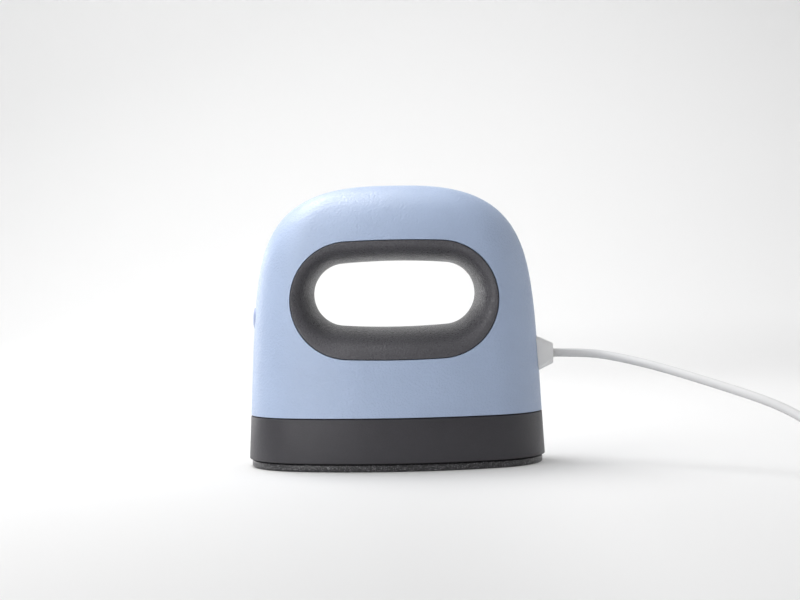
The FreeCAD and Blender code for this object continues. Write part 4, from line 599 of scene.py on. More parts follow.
def rounded_copy(name: str, node: str, width: float, angle: float = 25.0) -> bpy.types.Object:
    """Copies a solid with flat faces, merges its facets and rounds its edges.

    Args:
        name: the piece's name.
        node: the solid.
        width: the bevel's width, in metres.
        angle: edges that turn by more than this are rounded.

    Returns:
        The piece, with a live bevel.
    """
    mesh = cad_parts[node].data.copy()
    with reshaping(mesh) as work:
        bmesh.ops.remove_doubles(work, verts=work.verts, dist=FACET_DISTANCE)
        bmesh.ops.dissolve_limit(
            work, angle_limit=math.radians(FLAT_ANGLE), verts=work.verts, edges=work.edges
        )
        bmesh.ops.recalc_face_normals(work, faces=work.faces)
    piece = new_piece(name, mesh)
    soften(piece)
    rounding = piece.modifiers.new("rounded_edges", "BEVEL")
    rounding.width = width
    rounding.segments = 3
    rounding.limit_method = "ANGLE"
    rounding.angle_limit = math.radians(angle)
    rounding.miter_outer = "MITER_ARC"
    return piece


def grid_mesh(name: str, rows: np.ndarray, closed: tuple[bool, bool]) -> bpy.types.Mesh:
    """Makes a mesh of quads from rows of points.

    Args:
        name: the mesh's name.
        rows: points as rows x columns x 3.
        closed: whether the last row joins the first, and the last column the first.

    Returns:
        The mesh, with doubled points merged.
    """
    row_count, column_count, _ = rows.shape
    down = row_count if closed[0] else row_count - 1
    across = column_count if closed[1] else column_count - 1
    row, column = np.meshgrid(np.arange(down), np.arange(across), indexing="ij")
    below = (row + 1) % row_count
    beside = (column + 1) % column_count
    corners = [
        row * column_count + column,
        row * column_count + beside,
        below * column_count + beside,
        below * column_count + column,
    ]
    faces = np.stack([corner.ravel() for corner in corners], axis=1)
    mesh = bpy.data.meshes.new(name)
    mesh.from_pydata(rows.reshape(-1, 3).tolist(), [], faces.tolist())
    with reshaping(mesh) as work:
        bmesh.ops.remove_doubles(work, verts=work.verts, dist=JOIN_DISTANCE)
        bmesh.ops.recalc_face_normals(work, faces=work.faces)
    return mesh


# ---------------------------------------------------------------------------------------------
# The press's form


@dataclass(frozen=True)
class PlanOval:
    """Four tangent arcs for each of several half lengths and half widths."""

    half_length: np.ndarray
    half_width: np.ndarray
    share: float

    @property
    def end(self) -> np.ndarray:
        """Radius of the end arcs."""
        return self.share * self.half_width

    @property
    def centre(self) -> np.ndarray:
        """How far the end arcs' centres are from the middle."""
        return self.half_length - self.end

    @property
    def side(self) -> np.ndarray:
        """Radius of the side arcs."""
        rise = self.centre**2 + self.half_width**2 - self.end**2
        return rise / (2 * (self.half_width - self.end))

    @property
    def drop(self) -> np.ndarray:
        """How far the side arcs' centres are beyond the middle."""
        return self.side - self.half_width

    @property
    def turn(self) -> np.ndarray:
        """Angle at which the end arcs pass into the side arcs."""
        return np.arctan2(self.drop, self.centre)

    def half_outline(self, share: np.ndarray, end_share: float) -> tuple[np.ndarray, np.ndarray]:
        """Returns points of one half of the outline, from the right end to the left.

        Args:
            share: places along the half outline, from 0 to 1.
            end_share: the share of it that each end arc takes.

        Returns:
            The distance along the oval's length, and the distance out from it.
        """
        mirrored = np.minimum(share, 1 - share)
        flip = np.where(share > 0.5, -1.0, 1.0)
        on_end = mirrored < end_share
        along = (mirrored - end_share) / (0.5 - end_share)
        angle = np.where(
            on_end, mirrored / end_share * self.turn, self.turn + along * (QUARTER - self.turn)
        )
        x = np.where(on_end, self.centre + self.end * np.cos(angle), self.side * np.cos(angle))
        out = np.where(on_end, self.end * np.sin(angle), self.side * np.sin(angle) - self.drop)
        return flip * x, out

    def share_at(self, x: np.ndarray, end_share: float) -> np.ndarray:
        """Returns the places of a half outline at which it passes over x."""
        length = np.abs(x)
        on_end = length > self.side * np.cos(self.turn)
        reach = np.clip((length - self.centre) / self.end, -1, 1)
        on_arc = end_share * np.arccos(reach) / self.turn
        side_angle = np.arccos(np.clip(length / self.side, -1, 1))
        along = (side_angle - self.turn) / (QUARTER - self.turn)
        share = np.where(on_end, on_arc, end_share + along * (0.5 - end_share))
        return np.where(x < 0, 1 - share, share)


@dataclass(frozen=True)
class PressForm:
    """The rule of the outer form: a plan oval at each height that draws in towards the crown."""

    CROWDING = 4  # how strongly the steps of a climb crowd at the crown
    SLOPE_STEP = 0.01 * MM
    SLOPE_SHARE = 0.02  # largest such step over what is left to the crown

    height: float = 108.4 * MM
    half_length: float = 57.85 * MM
    length_lean: float = 0.052
    length_power: float = 7.0
    length_round: float = 2.75
    half_width: float = 34.9 * MM
    width_lean: float = 0.045
    width_power: float = 4.5
    width_round: float = 2.3
    plan_share: float = 0.84
    end_share: float = 0.23

    def half_length_at(self, z: np.ndarray, inset: float = 0.0) -> np.ndarray:
        """Returns the form's half length at a height, less an inset."""
        left = 1 - (z / (self.height - inset)) ** self.length_power
        return (self.half_length - inset - self.length_lean * z) * left ** (1 / self.length_round)

    def half_width_at(self, z: np.ndarray, inset: float = 0.0) -> np.ndarray:
        """Returns the form's half width at a height, less an inset."""
        left = 1 - (z / (self.height - inset)) ** self.width_power
        return (self.half_width - inset - self.width_lean * z) * left ** (1 / self.width_round)

    def oval(self, z: np.ndarray, inset: float = 0.0) -> PlanOval:
        """Returns the plan ovals at some heights."""
        z = np.minimum(z, (self.height - inset) * (1 - TINY))
        return PlanOval(
            self.half_length_at(z, inset), self.half_width_at(z, inset), self.plan_share
        )

    def point(self, share: np.ndarray, z: np.ndarray, side: Side, inset: float) -> np.ndarray:
        """Returns points of the form: share runs along the half outline, z is the height."""
        x, out = self.oval(z, inset).half_outline(share, self.end_share)
        return np.stack([x, side.value * out, z], axis=-1)

    def depth_at(self, x: np.ndarray, z: np.ndarray, inset: float = 0.0) -> np.ndarray:
        """Returns how far the form reaches out of the middle plane over (x, z)."""
        oval = self.oval(z, inset)
        return oval.half_outline(oval.share_at(x, self.end_share), self.end_share)[1]

    def climb(self, bottom: float, inset: float) -> tuple[np.ndarray, np.ndarray]:
        """Returns shares of the silhouette's length from a bottom to the crown, and heights."""
        steps = np.linspace(0, 1, CURVE_STEPS)
        top = self.height - inset
        z = bottom + (top - bottom) * (1 - (1 - steps) ** self.CROWDING)
        outline = np.hypot(np.diff(self.oval(z, inset).half_length), np.diff(z))
        lengths = np.concatenate([[0.0], np.cumsum(outline)])
        return lengths / lengths[-1], z

    def gap_and_normal(self, points: np.ndarray) -> tuple[np.ndarray, np.ndarray]:
        """Measures points near the form.

        Args:
            points: n x 3 places.

        Returns:
            How far each is from the form, and the form's normal there.
        """
        x, y, z = np.abs(points[:, 0]), np.abs(points[:, 1]), points[:, 2]
        step = np.minimum(self.SLOPE_STEP, (self.height - z).clip(TINY) * self.SLOPE_SHARE)
        here, low, high = self.oval(z), self.oval(z - step), self.oval(z + step)
        end_angle = np.arctan2(y, x - here.centre)
        side_angle = np.arctan2(y + here.drop, x)
        on_end = end_angle < here.turn
        angle = np.where(on_end, end_angle, side_angle)
        off_end = np.hypot(x - here.centre, y) - here.end
        off_side = np.hypot(x, y + here.drop) - here.side
        lean_end = ((high.centre - low.centre) * np.cos(angle) + high.end - low.end) / (2 * step)
        lean_side = ((high.side - low.side) - (high.drop - low.drop) * np.sin(angle)) / (2 * step)
        lean = np.where(on_end, lean_end, lean_side)
        normal = np.stack(
            [np.sign(points[:, 0]) * np.cos(angle), np.sign(points[:, 1]) * np.sin(angle), -lean],
            axis=1,
        )
        length = np.linalg.norm(normal, axis=1)
        gap = np.where(on_end, off_end, off_side) / length
        return np.abs(gap), normal / length[:, None]


@dataclass(frozen=True)
class FaceOval:
    """An oval of four tangent arcs in the xz plane, for the grip opening."""

    LAST_GAP = 1e-12  # keeps the last turn just short of the first

    half_length: float
    half_height: float
    centre_z: float
    share: float = 0.94
    end_share: float = 0.2

    def points(self, turns: np.ndarray) -> np.ndarray:
        """Returns x and z at turns about the oval, from 0 at +x over +z to 1."""
        oval = PlanOval(np.float64(self.half_length), np.float64(self.half_height), self.share)
        upper = turns < 0.5
        x, out = oval.half_outline(np.where(upper, turns * 2, turns * 2 - 1), self.end_share)
        sign = np.where(upper, 1.0, -1.0)
        return np.stack([sign * x, self.centre_z + sign * out], axis=-1)

    def turns_at(self, shares: np.ndarray) -> np.ndarray:
        """Returns the turns about the oval at some shares of its outline's length."""
        turns = np.linspace(0, 1, CURVE_STEPS)
        places = self.points(np.minimum(turns, 1 - self.LAST_GAP))
        runs = np.linalg.norm(np.diff(places, axis=0), axis=1)
        run = np.concatenate([[0.0], np.cumsum(runs)])
        return np.interp(shares * run[-1], run, turns)

    def wider(self, by: float) -> "FaceOval":
        """Returns an oval that is wider all round by a distance."""
        return replace(
            self, half_length=self.half_length + by, half_height=self.half_height + by
        )


@dataclass(frozen=True)
class GripOpening:
    """The tunnel's ovals: the rim lies flush in the shell and the throat is the way through."""

    rim: FaceOval = FaceOval(39.5 * MM, 22.4 * MM, 64.3 * MM, 0.985)
    throat: FaceOval = FaceOval(31.5 * MM, 13.0 * MM, 66.2 * MM)
    end_depth: float = 20.0 * MM
    low_depth: float = 27.0 * MM
    high_depth: float = 20.0 * MM

    def depth(self, turns: np.ndarray) -> np.ndarray:
        """Returns how deep the lip rolls in at turns about the opening."""
        rise = (self.rim.points(turns)[:, 1] - self.rim.centre_z) / self.rim.half_height
        other = np.where(rise > 0, self.high_depth, self.low_depth)
        return self.end_depth + (other - self.end_depth) * rise**2


# ---------------------------------------------------------------------------------------------
# Sub-assemblies


@dataclass(frozen=True)
class ShellHalf:
    """One half of the moulded shell, with its wall, its rim hole and the notch of the button."""

    side: Side
    form: PressForm = PressForm()
    opening: GripOpening = GripOpening()
    bottom: float = 20.2 * MM
    wall: float = 2.4 * MM
    rim_gap: float = 0.28 * MM
    edge: float = 0.22 * MM
    button_z: float = 57.2 * MM
    button_hole: float = 4.85 * MM
    button_reach: float = 8.0 * MM
    screw_places: tuple[tuple[float, float], ...] = (
        (-44.0 * MM, 29.5 * MM), (44.0 * MM, 29.5 * MM),
        (-30.0 * MM, 94.5 * MM), (30.0 * MM, 94.5 * MM),
    )
    screw_hole: float = 3.3 * MM
    boss: float = 4.6 * MM
    boss_start: float = 5.0 * MM
    seat: float = 7.0 * MM
    skin: float = 0.4 * MM
    edge_angle: float = 40.0
    normal_angle: float = 14.0
    normal_gap: float = 0.25 * MM
    rings: int = 30
    right_steps: int = 70
    crown_steps: int = 80
    bottom_steps: int = 110
    corner_turns: tuple[float, ...] = (0.09, 0.41, 0.59, 0.91)

    def build(self) -> bpy.types.Object:
        """Builds the half.

        Returns:
            The piece, on the housing.
        """
        node = f"{self.side.name.lower()}_shell"
        mesh = self._between(f"{node}_moulding", self._sheet(0.0), self._sheet(self.wall))
        self._round_edges(mesh)
        piece = new_piece(mesh.name, mesh)
        self._cut(piece)
        self._shade(piece)
        PALETTE.dress(piece, SHELL_BLUE)
        return declare(piece, HOUSING, [node])

    @staticmethod
    def _between(name: str, outer: np.ndarray, inner: np.ndarray) -> bpy.types.Mesh:
        """Closes the room between two sheets of points as a solid wall."""
        return grid_mesh(name, np.concatenate([outer, inner[::-1]]), (True, True))

    def _sheet(self, inset: float) -> np.ndarray:
        """Lays rings of points over the half, from the grip opening's rim to its outer edges.

        Args:
            inset: how far in from the outer form the sheet lies.

        Returns:
            Points as rings x columns x 3.
        """
        shares, heights = self.form.climb(self.bottom, inset)
        turns, edge = self._boundary()
        hole = self.opening.rim.wider(self.rim_gap).points(turns)
        around = self.form.oval(hole[:, 1], inset).share_at(hole[:, 0], self.form.end_share)
        start = np.stack([around, np.interp(hole[:, 1], heights, shares)], axis=1)
        along = np.linspace(0, 1, self.rings)[:, None, None]
        places = start[None] + (edge - start)[None] * along
        z = np.interp(places[..., 1], shares, heights)
        return self.form.point(places[..., 0], z, self.side, inset)

    def _boundary(self) -> tuple[np.ndarray, np.ndarray]:
        """Runs once round the half's edges, from its right corner over the crown.

        Returns:
            The opening's turn at each column, and the column's end as shares of the half outline
            and of the climb.
        """
        corners = ((0.0, 1.0), (1.0, 1.0), (1.0, 0.0), (0.0, 0.0), (0.0, 1.0))
        counts = (self.crown_steps, self.right_steps, self.bottom_steps, self.right_steps)
        starts = self.corner_turns + (1 + self.corner_turns[0],)
        turns, edge = [], []
        for place, count in enumerate(counts):
            along = np.arange(count) / count
            turns.append(starts[place] + (starts[place + 1] - starts[place]) * along)
            low, high = np.array(corners[place]), np.array(corners[place + 1])
            edge.append(low + (high - low) * along[:, None])
        return self.opening.rim.turns_at(np.concatenate(turns) % 1.0), np.concatenate(edge)

    def _round_edges(self, mesh: bpy.types.Mesh) -> None:
        """Rounds the rim, the parting edges and the bottom edges of the wall."""
        least = math.radians(self.edge_angle)
        with reshaping(mesh) as work:
            sharp = [edge for edge in work.edges if edge.calc_face_angle(0.0) > least]
            bmesh.ops.bevel(
                work, geom=sharp, offset=self.edge, segments=2, profile=0.5, affect="EDGES",
                clamp_overlap=True, offset_type="OFFSET",
            )

    def _cut(self, piece: bpy.types.Object) -> None:
        """Cuts the notch of the button, and on the rear half the four screw wells."""
        left = -self.form.half_length
        notch = [((left, 0.0, self.button_z), (1, 0, 0), self.button_hole, self.button_reach * 2)]
        combine(piece, "DIFFERENCE", rods(notch))
        if self.side is Side.REAR:
            wells, bosses = [], []
            for x, z in self.screw_places:
                surface = float(self.form.depth_at(np.array([x]), np.array([z]), self.wall)[0])
                reach = surface + self.wall / 2 - self.boss_start
                middle = self.boss_start + reach / 2
                bosses.append(((x, middle, z), (0, 1, 0), self.boss, reach))
                wells.append(((x, self.seat + surface, z), (0, 1, 0), self.screw_hole, 2 * surface))
            posts = rods(bosses)
            combine(posts, "INTERSECT", self._core())
            combine(piece, "UNION", posts)
            combine(piece, "DIFFERENCE", rods(wells))

    def _core(self) -> bpy.types.Object:
        """Makes a solid of all that lies under the half's outer skin, to trim the posts with."""
        skin = self._sheet(self.skin)
        return new_piece("core", self._between("core", skin, skin * np.array((1.0, 0.0, 1.0))))

    def _shade(self, piece: bpy.types.Object) -> None:
        """Gives the outer surface the form's own normals."""
        soften(piece)
        mesh = piece.data
        places = np.empty(len(mesh.vertices) * 3)
        mesh.vertices.foreach_get("co", places)
        gap, normal = self.form.gap_and_normal(places.reshape(-1, 3))
        corner = np.empty(len(mesh.loops), dtype=np.int64)
        mesh.loops.foreach_get("vertex_index", corner)
        facing = np.empty(len(mesh.polygons) * 3)
        mesh.polygons.foreach_get("normal", facing)
        sizes = np.empty(len(mesh.polygons), dtype=np.int64)
        mesh.polygons.foreach_get("loop_total", sizes)
        facing = np.repeat(facing.reshape(-1, 3), sizes, axis=0)
        agree = (facing * normal[corner]).sum(axis=1) > math.cos(math.radians(self.normal_angle))
        outer = agree & (gap[corner] < self.normal_gap)
        mesh.normals_split_custom_set(np.where(outer[:, None], normal[corner], 0.0).tolist())


Rod = tuple[Point, Point, float, float]


def rods(places: Iterable[Rod], sides: int = 64) -> bpy.types.Object:
    """Makes round rods for use in a cut.

    Args:
        places: for each rod its middle, its axis, its radius and its length.
        sides: how many sides each rod has.

    Returns:
        A passing object of all the rods.
    """
    mesh = bpy.data.meshes.new("cutter")
    with reshaping(mesh) as work:
        for middle, axis, radius, length in places:
            turn = Vector((0, 0, 1)).rotation_difference(Vector(axis)).to_matrix().to_4x4()
            bmesh.ops.create_cone(
                work, cap_ends=True, segments=sides, radius1=radius, radius2=radius, depth=length,
                matrix=Matrix.Translation(middle) @ turn,
            )
    return new_piece("cutter", mesh)


def combine(piece: bpy.types.Object, operation: str, other: bpy.types.Object) -> None:
    """Cuts another object from a piece or joins it on, and removes that object."""
    change = piece.modifiers.new("change", "BOOLEAN")
    change.operation = operation
    change.solver = "EXACT"
    change.object = other
    settle(piece)
    bpy.data.objects.remove(other)


@dataclass(frozen=True)
class GripLiner:
    """One half of the grey grip: a lip that rolls from the shell's face into the tunnel."""

    side: Side
    form: PressForm = PressForm()
    opening: GripOpening = GripOpening()
    wall: float = 2.4 * MM
    rim_round: float = 0.35 * MM
    throat_round: float = 0.2 * MM
    columns: int = 288
    roll_steps: int = 36
    rim_steps: int = 5
    throat_steps: int = 4

    def build(self) -> bpy.types.Object:
        """Builds the half liner.

        Returns:
            The piece, on the housing.
        """
        node = f"{self.side.name.lower()}_grip"
        turns = self.opening.rim.turns_at(np.arange(self.columns) / self.columns)
        rows = np.array(list(self._rows(turns)))
        rows[..., 1] *= self.side.value
        piece = new_piece(f"{node}_liner", grid_mesh(f"{node}_liner", rows, (True, True)))
        soften(piece)
        PALETTE.dress(piece, GRIP_GREY)
        return declare(piece, HOUSING, [node])

    def _rows(self, turns: np.ndarray) -> Iterable[np.ndarray]:
        """Yields the liner's cross section as one row of points for each of its places.

        Args:
            turns: where about the opening each column stands.
        """
        rim = self.opening.rim.points(turns)
        throat = self.opening.throat.points(turns)
        back = self.opening.throat.wider(self.wall).points(turns)
        face = self.form.depth_at(rim[:, 0], rim[:, 1])
        depth = self.opening.depth(turns)
        width = np.linalg.norm(rim - throat, axis=1)

        def row(flat: np.ndarray, out: np.ndarray) -> np.ndarray:
            """Returns points at x and z with a distance out of the middle plane."""
            return np.stack([flat[:, 0], out, flat[:, 1]], axis=1)

        for turn in np.linspace(0, QUARTER, self.roll_steps // 2):
            flat = back + (rim - back) * (1 - math.cos(turn))
            yield row(flat, face - depth - self.wall + depth * math.sin(turn))
        for turn in np.linspace(0, QUARTER, self.rim_steps):
            inward = self.rim_round * (1 - math.cos(turn)) / width
            flat = rim + (throat - rim) * inward[:, None]
            yield row(flat, face - self.rim_round * (1 - math.sin(turn)))
        edge = rim + (throat - rim) * (self.rim_round / width)[:, None]
        for turn in np.linspace(QUARTER, 0, self.roll_steps)[1:]:
            flat = throat + (edge - throat) * (1 - math.cos(turn))
            yield row(flat, face - depth * (1 - math.sin(turn)))
        yield row(throat, (face - depth) / 2)
        for turn in np.linspace(0, QUARTER, self.throat_steps):
            outward = self.throat_round * (1 - math.cos(turn)) / self.wall
            flat = throat + (back - throat) * outward
            yield row(flat, np.full(len(turns), self.throat_round * (1 - math.sin(turn))))
        yield row(back, np.zeros(len(turns)))


class ShapeTree(Tree):
    """A geometry tree with named inputs that ends in plain mesh with a material."""

    def __init__(self, name: str, inputs: Mapping[str, str]) -> None:
        """Starts the tree.

        Args:
            name: the tree's name.
            inputs: the kind of each input's socket, by its name.
        """
        super().__init__(bpy.data.node_groups.new(name, "GeometryNodeTree"))
        sockets = self.tree.interface
        sockets.new_socket("Geometry", in_out="OUTPUT", socket_type="NodeSocketGeometry")
        for title, kind in inputs.items():
            sockets.new_socket(title, in_out="INPUT", socket_type=f"NodeSocket{kind}")
        self.given = self.node("NodeGroupInput").outputs

    def close(self, geometry: bpy.types.NodeSocket, material: bpy.types.Material) -> None:
        """Ends the tree: makes instances real and gives all of it a material."""
        real = self.node("GeometryNodeRealizeInstances", None, {0: geometry})
        dressed = self.node(
            "GeometryNodeSetMaterial", None, {"Geometry": real.outputs[0], "Material": material}
        )
        self.node("NodeGroupOutput", None, {0: dressed.outputs[0]})

    def shape(self, piece: bpy.types.Object, **inputs: Any) -> None:
        """Runs the tree on a piece and keeps the result as its plain mesh.

        Args:
            piece: the piece, whose mesh is the tree's geometry where it takes one.
            inputs: the tree's other inputs, with an underscore for each space of their names.
        """
        modifier = piece.modifiers.new("shape", "NODES")
        modifier.node_group = self.tree
        for socket in self.tree.interface.items_tree:
            title = socket.name.replace(" ", "_")
            if socket.in_out == "INPUT" and title in inputs:
                modifier[socket.identifier] = inputs[title]
        settle(piece)


class OvalBand(ShapeTree):
    """A geometry tree that makes a ring or a slab about the press's plan oval."""

    SIZES = ("Half Length", "Half Width", "Length Lean", "Width Lean", "Bottom", "Top", "Wall",
             "Edge", "Core")
    ROWS = 13
    CORNER_ROWS = 5
    CORE_BAND = 5 * MM

    def __init__(self, plan_share: float, columns: int, material: bpy.types.Material) -> None:
        """Builds the tree.

        Args:
            plan_share: the end arcs' radius over the half width.
            columns: how many columns the band has.
            material: what the band is given.
        """
        super().__init__("oval_band", dict.fromkeys(self.SIZES, "Float"))
        self.sizes = {name: Value(self, self.given[name]) for name in self.SIZES}
        grid = self.node(
            "GeometryNodeMeshGrid", None,
            {"Size X": 1.0, "Size Y": 1.0, "Vertices X": columns + 1, "Vertices Y": self.ROWS},
        )
        flat = self.node(
            "ShaderNodeSeparateXYZ", None, {0: self.node("GeometryNodeInputPosition").outputs[0]}
        )
        angle = (Value(self, flat.outputs[0]) + 0.5) * (2 * math.pi)
        row = (Value(self, flat.outputs[1]) + 0.5) * (self.ROWS - 1)
        offset, height = self._profile(row)
        along, across = self._plan(angle, offset, height, plan_share)
        core = (self.sizes["Wall"] + offset) / (self.sizes["Wall"] - self.CORE_BAND)
        scale = 1 - self.sizes["Core"] * (1 - core.least(1.0))
        place = self.node(
            "ShaderNodeCombineXYZ", None, {0: along * scale, 1: across * scale, 2: height}
        )
        moved = self.node(
            "GeometryNodeSetPosition", None,
            {"Geometry": grid.outputs[0], "Position": place.outputs[0]},
        )
        merged = self.node(
            "GeometryNodeMergeByDistance", None,
            {"Geometry": moved.outputs[0], "Distance": JOIN_DISTANCE},
        )
        self.close(merged.outputs[0], material)

    def _profile(self, row: Value) -> tuple[Value, Value]:
        """Returns how far out and how high each row of the band's cross section is."""
        corner = self.CORNER_ROWS
        top = row.above(corner - 0.5) - row.above(2 * corner + 0.5)
        inner = row.above(2 * corner - 0.5) - row.above(2 * corner + 1.5)
        last = row.above(2 * corner + 1.5)
        climbing = (row - corner * top) * (QUARTER / (corner - 1)) - (1 - top) * QUARTER
        angle = (1 - last) * climbing - last * QUARTER
        edge, wall = self.sizes["Edge"], self.sizes["Wall"]
        offset = (1 - inner) * (edge * angle.cosine() - edge) - inner * wall
        rounded = edge * (1 - inner)
        low = self.sizes["Bottom"] + rounded
        high = self.sizes["Top"] - rounded
        return offset, (1 - top) * low + top * high + rounded * angle.sine()

    def _plan(
        self, angle: Value, offset: Value, height: Value, plan_share: float
    ) -> tuple[Value, Value]:
        """Returns the place on the plan oval of a normal's angle, moved out by an offset."""
        length = self.sizes["Half Length"] - self.sizes["Length Lean"] * height
        width = self.sizes["Half Width"] - self.sizes["Width Lean"] * height
        end = width * plan_share
        centre = length - end
        side = (centre * centre + width * width - end * end) / (2 * (width - end))
        drop = side - width
        cosine, sine = angle.cosine(), angle.sine()
        on_side = (sine.size() * centre).above(cosine.size() * drop)
        along_end = (end + offset) * cosine + cosine.sign() * centre
        along_side = (side + offset) * cosine
        across_end = (end + offset) * sine
        across_side = (side + offset) * sine - sine.sign() * drop
        along = (1 - on_side) * along_end + on_side * along_side
        return along, (1 - on_side) * across_end + on_side * across_side

    def make(self, name: str, **sizes: float) -> bpy.types.Object:
        """Makes one band.

        Args:
            name: the band's name.
            sizes: the tree's inputs, with an underscore for each space of their names.

        Returns:
            The band as a plain mesh.
        """
        band = new_piece(name, bpy.data.meshes.new(name))
        self.shape(band, **sizes)
        return band


def join(name: str, parts: Sequence[bpy.types.Object]) -> bpy.types.Object:
    """Joins closed meshes into one piece and turns their faces outwards.

    Args:
        name: the piece's name.
        parts: the meshes, which are used up.

    Returns:
        The piece.
    """
    material = next(filter(None, parts[0].data.materials))
    mesh = bpy.data.meshes.new(name)
    with reshaping(mesh) as work:
        for part in parts:
            work.from_mesh(part.data)
            bpy.data.objects.remove(part)
        for face in work.faces:
            face.material_index = 0
        wires = [edge for edge in work.edges if not edge.link_faces]
        bmesh.ops.delete(work, geom=wires, context="EDGES")
        bmesh.ops.recalc_face_normals(work, faces=work.faces)
    mesh.materials.append(material)
    piece = new_piece(name, mesh)
    soften(piece)
    return piece


@dataclass(frozen=True)
class Base:
    """The charcoal skirt and the coated heat plate under it."""

    form: PressForm = PressForm()
    columns: int = 720
    skirt_bottom: float = 3.2 * MM
    skirt_top: float = 19.8 * MM
    skirt_wall: float = 2.2 * MM
    skirt_edge: float = 0.35 * MM
    web_bottom: float = 17.0 * MM
    web_top: float = 19.0 * MM
    spigot_inset: float = 2.55 * MM
    spigot_top: float = 22.4 * MM
    spigot_wall: float = 1.3 * MM
    plate_half_length: float = 56.65 * MM
    plate_half_width: float = 33.75 * MM
    plate_top: float = 2.8 * MM
    plate_edge: float = 0.7 * MM
    block_half_length: float = 51.0 * MM
    block_half_width: float = 28.8 * MM
    block_top: float = 7.0 * MM

    def build(self) -> list[bpy.types.Object]:
        """Builds the skirt and the plate.

        Returns:
            The two pieces, on the housing.
        """
        return [self._skirt(), self._plate()]

    def _skirt(self) -> bpy.types.Object:
        """Builds the skirt with its web and the spigot that locates the shells."""
        band = OvalBand(self.form.plan_share, self.columns, PALETTE.material(SKIRT_CHARCOAL))
        wall = self._leaning(
            band, "skirt_wall", 0.0, Bottom=self.skirt_bottom, Top=self.skirt_top,
            Wall=self.skirt_wall, Edge=self.skirt_edge,
        )
        web = self._leaning(
            band, "skirt_web", self.skirt_wall / 2, Bottom=self.web_bottom, Top=self.web_top,
            Wall=self.form.half_width / 2, Edge=self.skirt_edge, Core=1.0,
        )
        spigot = self._leaning(
            band, "skirt_spigot", self.spigot_inset, Bottom=self.web_top - self.skirt_edge,
            Top=self.spigot_top, Wall=self.spigot_wall, Edge=self.skirt_edge,
        )
        piece = join("skirt_moulding", [wall, web, spigot])
        return declare(piece, HOUSING, ["base_skirt"])

    def _leaning(
        self, band: OvalBand, name: str, inset: float, **sizes: float
    ) -> bpy.types.Object:
        """Makes a band that leans in with the press's outer form, less an inset."""
        return band.make(
            name, Half_Length=self.form.half_length - inset, Length_Lean=self.form.length_lean,
            Half_Width=self.form.half_width - inset, Width_Lean=self.form.width_lean, **sizes,
        )

    def _plate(self) -> bpy.types.Object:
        """Builds the plate's flange with its rounded lower edge and the block on it."""
        band = OvalBand(self.form.plan_share, self.columns, PALETTE.material(PLATE_COATING))
        flange = band.make(
            "plate_flange", Half_Length=self.plate_half_length, Half_Width=self.plate_half_width,
            Bottom=0.0, Top=self.plate_top, Wall=self.plate_half_width / 2, Core=1.0,
            Edge=self.plate_edge,
        )
        block = band.make(
            "plate_block", Half_Length=self.block_half_length, Half_Width=self.block_half_width,
            Bottom=self.plate_top - self.plate_edge, Top=self.block_top,
            Wall=self.block_half_width / 2, Core=1.0, Edge=self.plate_edge / 2,
        )
        piece = join("heat_plate_coated", [flange, block])
        return declare(piece, HOUSING, ["heat_plate"])


@dataclass(frozen=True)
class ShellScrews:
    """Four cross-recessed screws at the bottom of the rear shell's wells."""

    places: tuple[tuple[float, float], ...] = ShellHalf.screw_places
    seat: float = 7.0 * MM
    head_radius: float = 2.8 * MM
    head_height: float = 2.0 * MM
    recess_half_width: float = 0.45 * MM
    recess_reach: float = 1.7 * MM
    recess_depth: float = 1.3 * MM
    shank_radius: float = 1.3 * MM
    shank_length: float = 9.0 * MM
    dome_share: float = 0.45
    rim_share: float = 0.35
    dome_steps: int = 8
    sides: int = 32

    def build(self) -> bpy.types.Object:
        """Builds the screws.

        Returns:
            The piece, on the housing.
        """
        tree = ShapeTree("shell_screw_set", {"Geometry": "Geometry", "Screw": "Object"})
        screw = tree.node("GeometryNodeObjectInfo", None, {"Object": tree.given["Screw"]})
        spread = tree.node(
            "GeometryNodeInstanceOnPoints", None,
            {"Points": tree.given["Geometry"], "Instance": screw.outputs["Geometry"]},
        )
        tree.close(spread.outputs[0], PALETTE.material(SCREW_STEEL))
        mesh = bpy.data.meshes.new("shell_screw_heads")
        mesh.from_pydata([(x, self.seat, z) for x, z in self.places], [], [])
        piece = new_piece("shell_screw_heads", mesh)
        prototype = self._screw()
        tree.shape(piece, Screw=prototype)
        bpy.data.objects.remove(prototype)
        soften(piece)
        return declare(piece, HOUSING, ["shell_screws"])

    def _screw(self) -> bpy.types.Object:
        """Turns one pan-headed screw on its seat at the origin, with its head towards +Y."""
        radius, height = self.head_radius, self.head_height
        dome, rim = self.dome_share, self.rim_share
        outline = [(0.0, height)]
        for angle in np.linspace(QUARTER, 0, self.dome_steps)[1:]:
            swell = (1 - dome) * radius + dome * radius * math.cos(angle)
            outline.append((swell, rim * height + (1 - rim) * height * math.sin(angle)))
        outline += [(radius, 0.0), (self.shank_radius, 0.0)]
        outline += [(self.shank_radius, -self.shank_length), (0.0, -self.shank_length - radius / 2)]
        turns = np.linspace(0, 2 * math.pi, self.sides, endpoint=False)
        rows = [[(r * math.cos(t), y, r * math.sin(t)) for t in turns] for r, y in outline]
        screw = new_piece("screw", grid_mesh("screw", np.array(rows), (False, True)))
        narrow, wide = self.recess_half_width, self.recess_reach
        for half_size in ((narrow, self.recess_depth, wide), (wide, self.recess_depth, narrow)):
            place = Matrix.Translation((0, height, 0)) @ Matrix.Diagonal((*half_size, 1.0))
            mesh = bpy.data.meshes.new("slot")
            with reshaping(mesh) as slot:
                bmesh.ops.create_cube(slot, size=2.0, matrix=place)
            combine(screw, "DIFFERENCE", new_piece("slot", mesh))
        return screw


